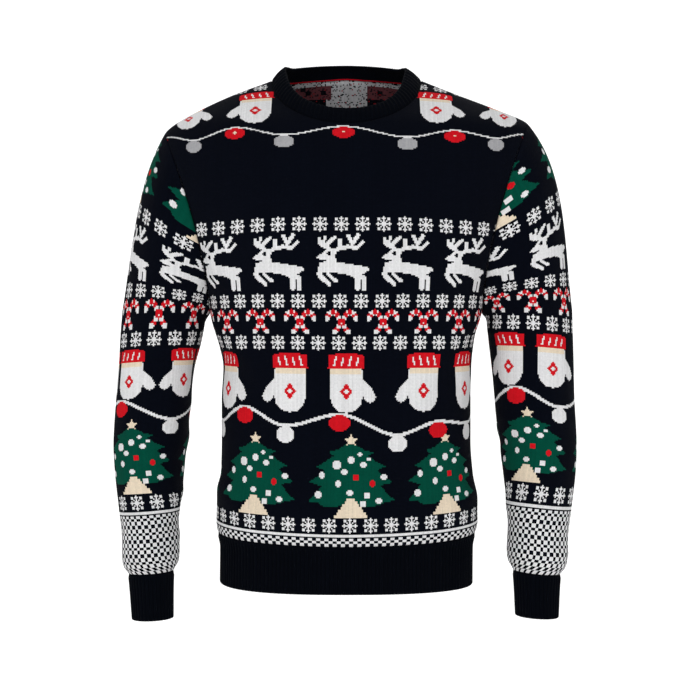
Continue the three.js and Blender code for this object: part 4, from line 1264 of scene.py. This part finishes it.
for node, face in (("hem_rib_front", FRONT), ("hem_rib_back", BACK)):
    path, around = hem_path(face)
    piece = ribbed("ribbing_" + node, path, HEM_RIBS, HEM_HEIGHT, RIB_CLOTH, False)
    dress(piece, node)


# %% Cuffs
CUFF_RIBS, CUFF_HEIGHT = 36, 60


def cuff_path(side):
    def path(place, share):
        turn = place * 2 * np.pi * -SIGN[side]
        z = blend(SLEEVE_END_Z, CUFF_Z[side], share) + 0 * turn
        point = sleeve_ring(side, turn, z)
        centre = point.mean(axis=0)
        out = point - centre
        out[:, 2] = 0
        return point, unit(out)

    return path


for side in SIGN:
    piece = ribbed("ribbing_cuff_" + side, cuff_path(side), CUFF_RIBS, CUFF_HEIGHT, RIB_CLOTH, True)
    dress(piece, "cuff_" + side)

# %% Neckband
# How far the band reaches inwards and upwards from its seam
NECKBAND = {"front": (8, 21), "left": (22, 17), "right": (18.5, 18.5), "back": (5, 19)}
NECKBAND_RIBS, NECKBAND_HEIGHT = 96, 24
NECKBAND_CLOTH = 3.6  # thickness of the folded band
NECKBAND_BOW = 1.6  # how far the middle of the band bulges
NECK_SIDE_TILT = 0.4  # angle, in radians, at which the panels end beside the neck
NECK_CENTRE_Y = -12


def neck_stations():
    """The neck seam at 32 stations: point, cloth direction, way out of the panel, rise."""
    half = np.linspace(-1, 1, 2 * NECK_COLUMNS + 1)
    turn = half * np.pi / 2
    stations = []
    for face in (FRONT, BACK):
        x = NECK_HALF * (np.sin(turn) if face == FRONT else half)
        z = NECK_FRONT_Z * np.cos(turn) if face == FRONT else NECK_BACK_Z * (1 - half**2)
        point, normal = body_point(face, x, z)
        along = np.gradient(point, axis=0)
        out = unit(np.cross(normal, along))
        out *= np.sign(out[:, 2:3] + 1e-9)
        if face == FRONT:
            for k in (0, -1):
                point[k, 1] = SEAM_Y(0)
                out[k] = (-np.sign(x[k]) * math.cos(NECK_SIDE_TILT), 0, math.sin(NECK_SIDE_TILT))
            rows = range(len(half))
        else:
            rows = range(len(half) - 2, 0, -1)
        for k in rows:
            middle = NECKBAND["front" if face == FRONT else "back"]
            flank = NECKBAND["left" if point[k, 0] > 0 else "right"]
            sideways = abs(math.sin(turn[k])) ** 1.6
            centre = np.array([-point[k, 0], NECK_CENTRE_Y - point[k, 1], 0])
            centre /= np.linalg.norm(centre)
            rise = centre * blend(middle[0], flank[0], sideways)
            rise[2] = blend(middle[1], flank[1], sideways)
            away = np.cross(np.cross([0, 0, 1], centre), rise)
            away /= np.linalg.norm(away)
            away *= -np.sign(np.dot(away, centre))
            stations.append((point[k], normal[k], out[k], rise, away))
    return [np.array(column) for column in zip(*stations)]


def round_trip(values, place):
    """A smooth closed curve through values, read at places from 0 to 1."""
    count = len(values)
    at = (place * count) % count
    i = np.floor(at).astype(int)
    t = (at - i)[:, None]
    a, b, c, d = (values[(i + k) % count] for k in (-1, 0, 1, 2))
    return b + 0.5 * t * (c - a + t * (2 * a - 5 * b + 4 * c - d + t * (3 * (b - c) + d - a)))


stations = neck_stations()


def neck_path(place, share):
    point, normal, out, rise, away = (round_trip(values, place) for values in stations)
    leave = 0.8 * math.sin(math.pi * min(1, share / 0.6))
    bow = NECKBAND_BOW * math.sin(math.pi * share)
    facing = unit(blend(normal, away, float(ease(share / 0.2))))
    return point + rise * share + unit(out) * leave + unit(away) * bow, facing


piece = ribbed(
    "ribbing_neckband", neck_path, NECKBAND_RIBS, NECKBAND_HEIGHT, NECKBAND_CLOTH, True, linked=True
)
dress(piece, "neckband")

# %% [markdown]
# ## Surround
# A pale floor that bends up into a wall behind the sweater gives an even background.


# %% Floor and wall
def surround():
    profile = [(-3.5, -1.15), (2.2, -1.15)]
    for angle in np.radians(range(8, 90, 8)):
        profile.append((2.2 + 0.9 * math.sin(angle), -0.25 - 0.9 * math.cos(angle)))
    profile += [(3.1, -0.2), (3.1, 4.5)]
    points = [(x / MM, y / MM, z / MM) for y, z in profile for x in (-5, 5)]
    faces = [(2 * k, 2 * k + 1, 2 * k + 3, 2 * k + 2) for k in range(len(profile) - 1)]
    made = new_object("pale_floor", points, faces)
    material = bpy.data.materials.new("pale floor")
    material.use_nodes = True
    tree = material.node_tree
    shader = tree.nodes["Principled BSDF"]
    grain = tree.nodes.new("ShaderNodeTexNoise")
    grain.inputs["Scale"].default_value = 40
    tint = mix_colour(tree, "MIX", grain.outputs[0], (0.93, 0.93, 0.93, 1), (0.95, 0.95, 0.95, 1))
    tree.links.new(tint, shader.inputs["Base Color"])
    shader.inputs["Roughness"].default_value = 1
    shader.inputs["Emission Color"].default_value = (1, 1, 1, 1)
    shader.inputs["Emission Strength"].default_value = 0.25
    made.data.materials.append(material)


surround()
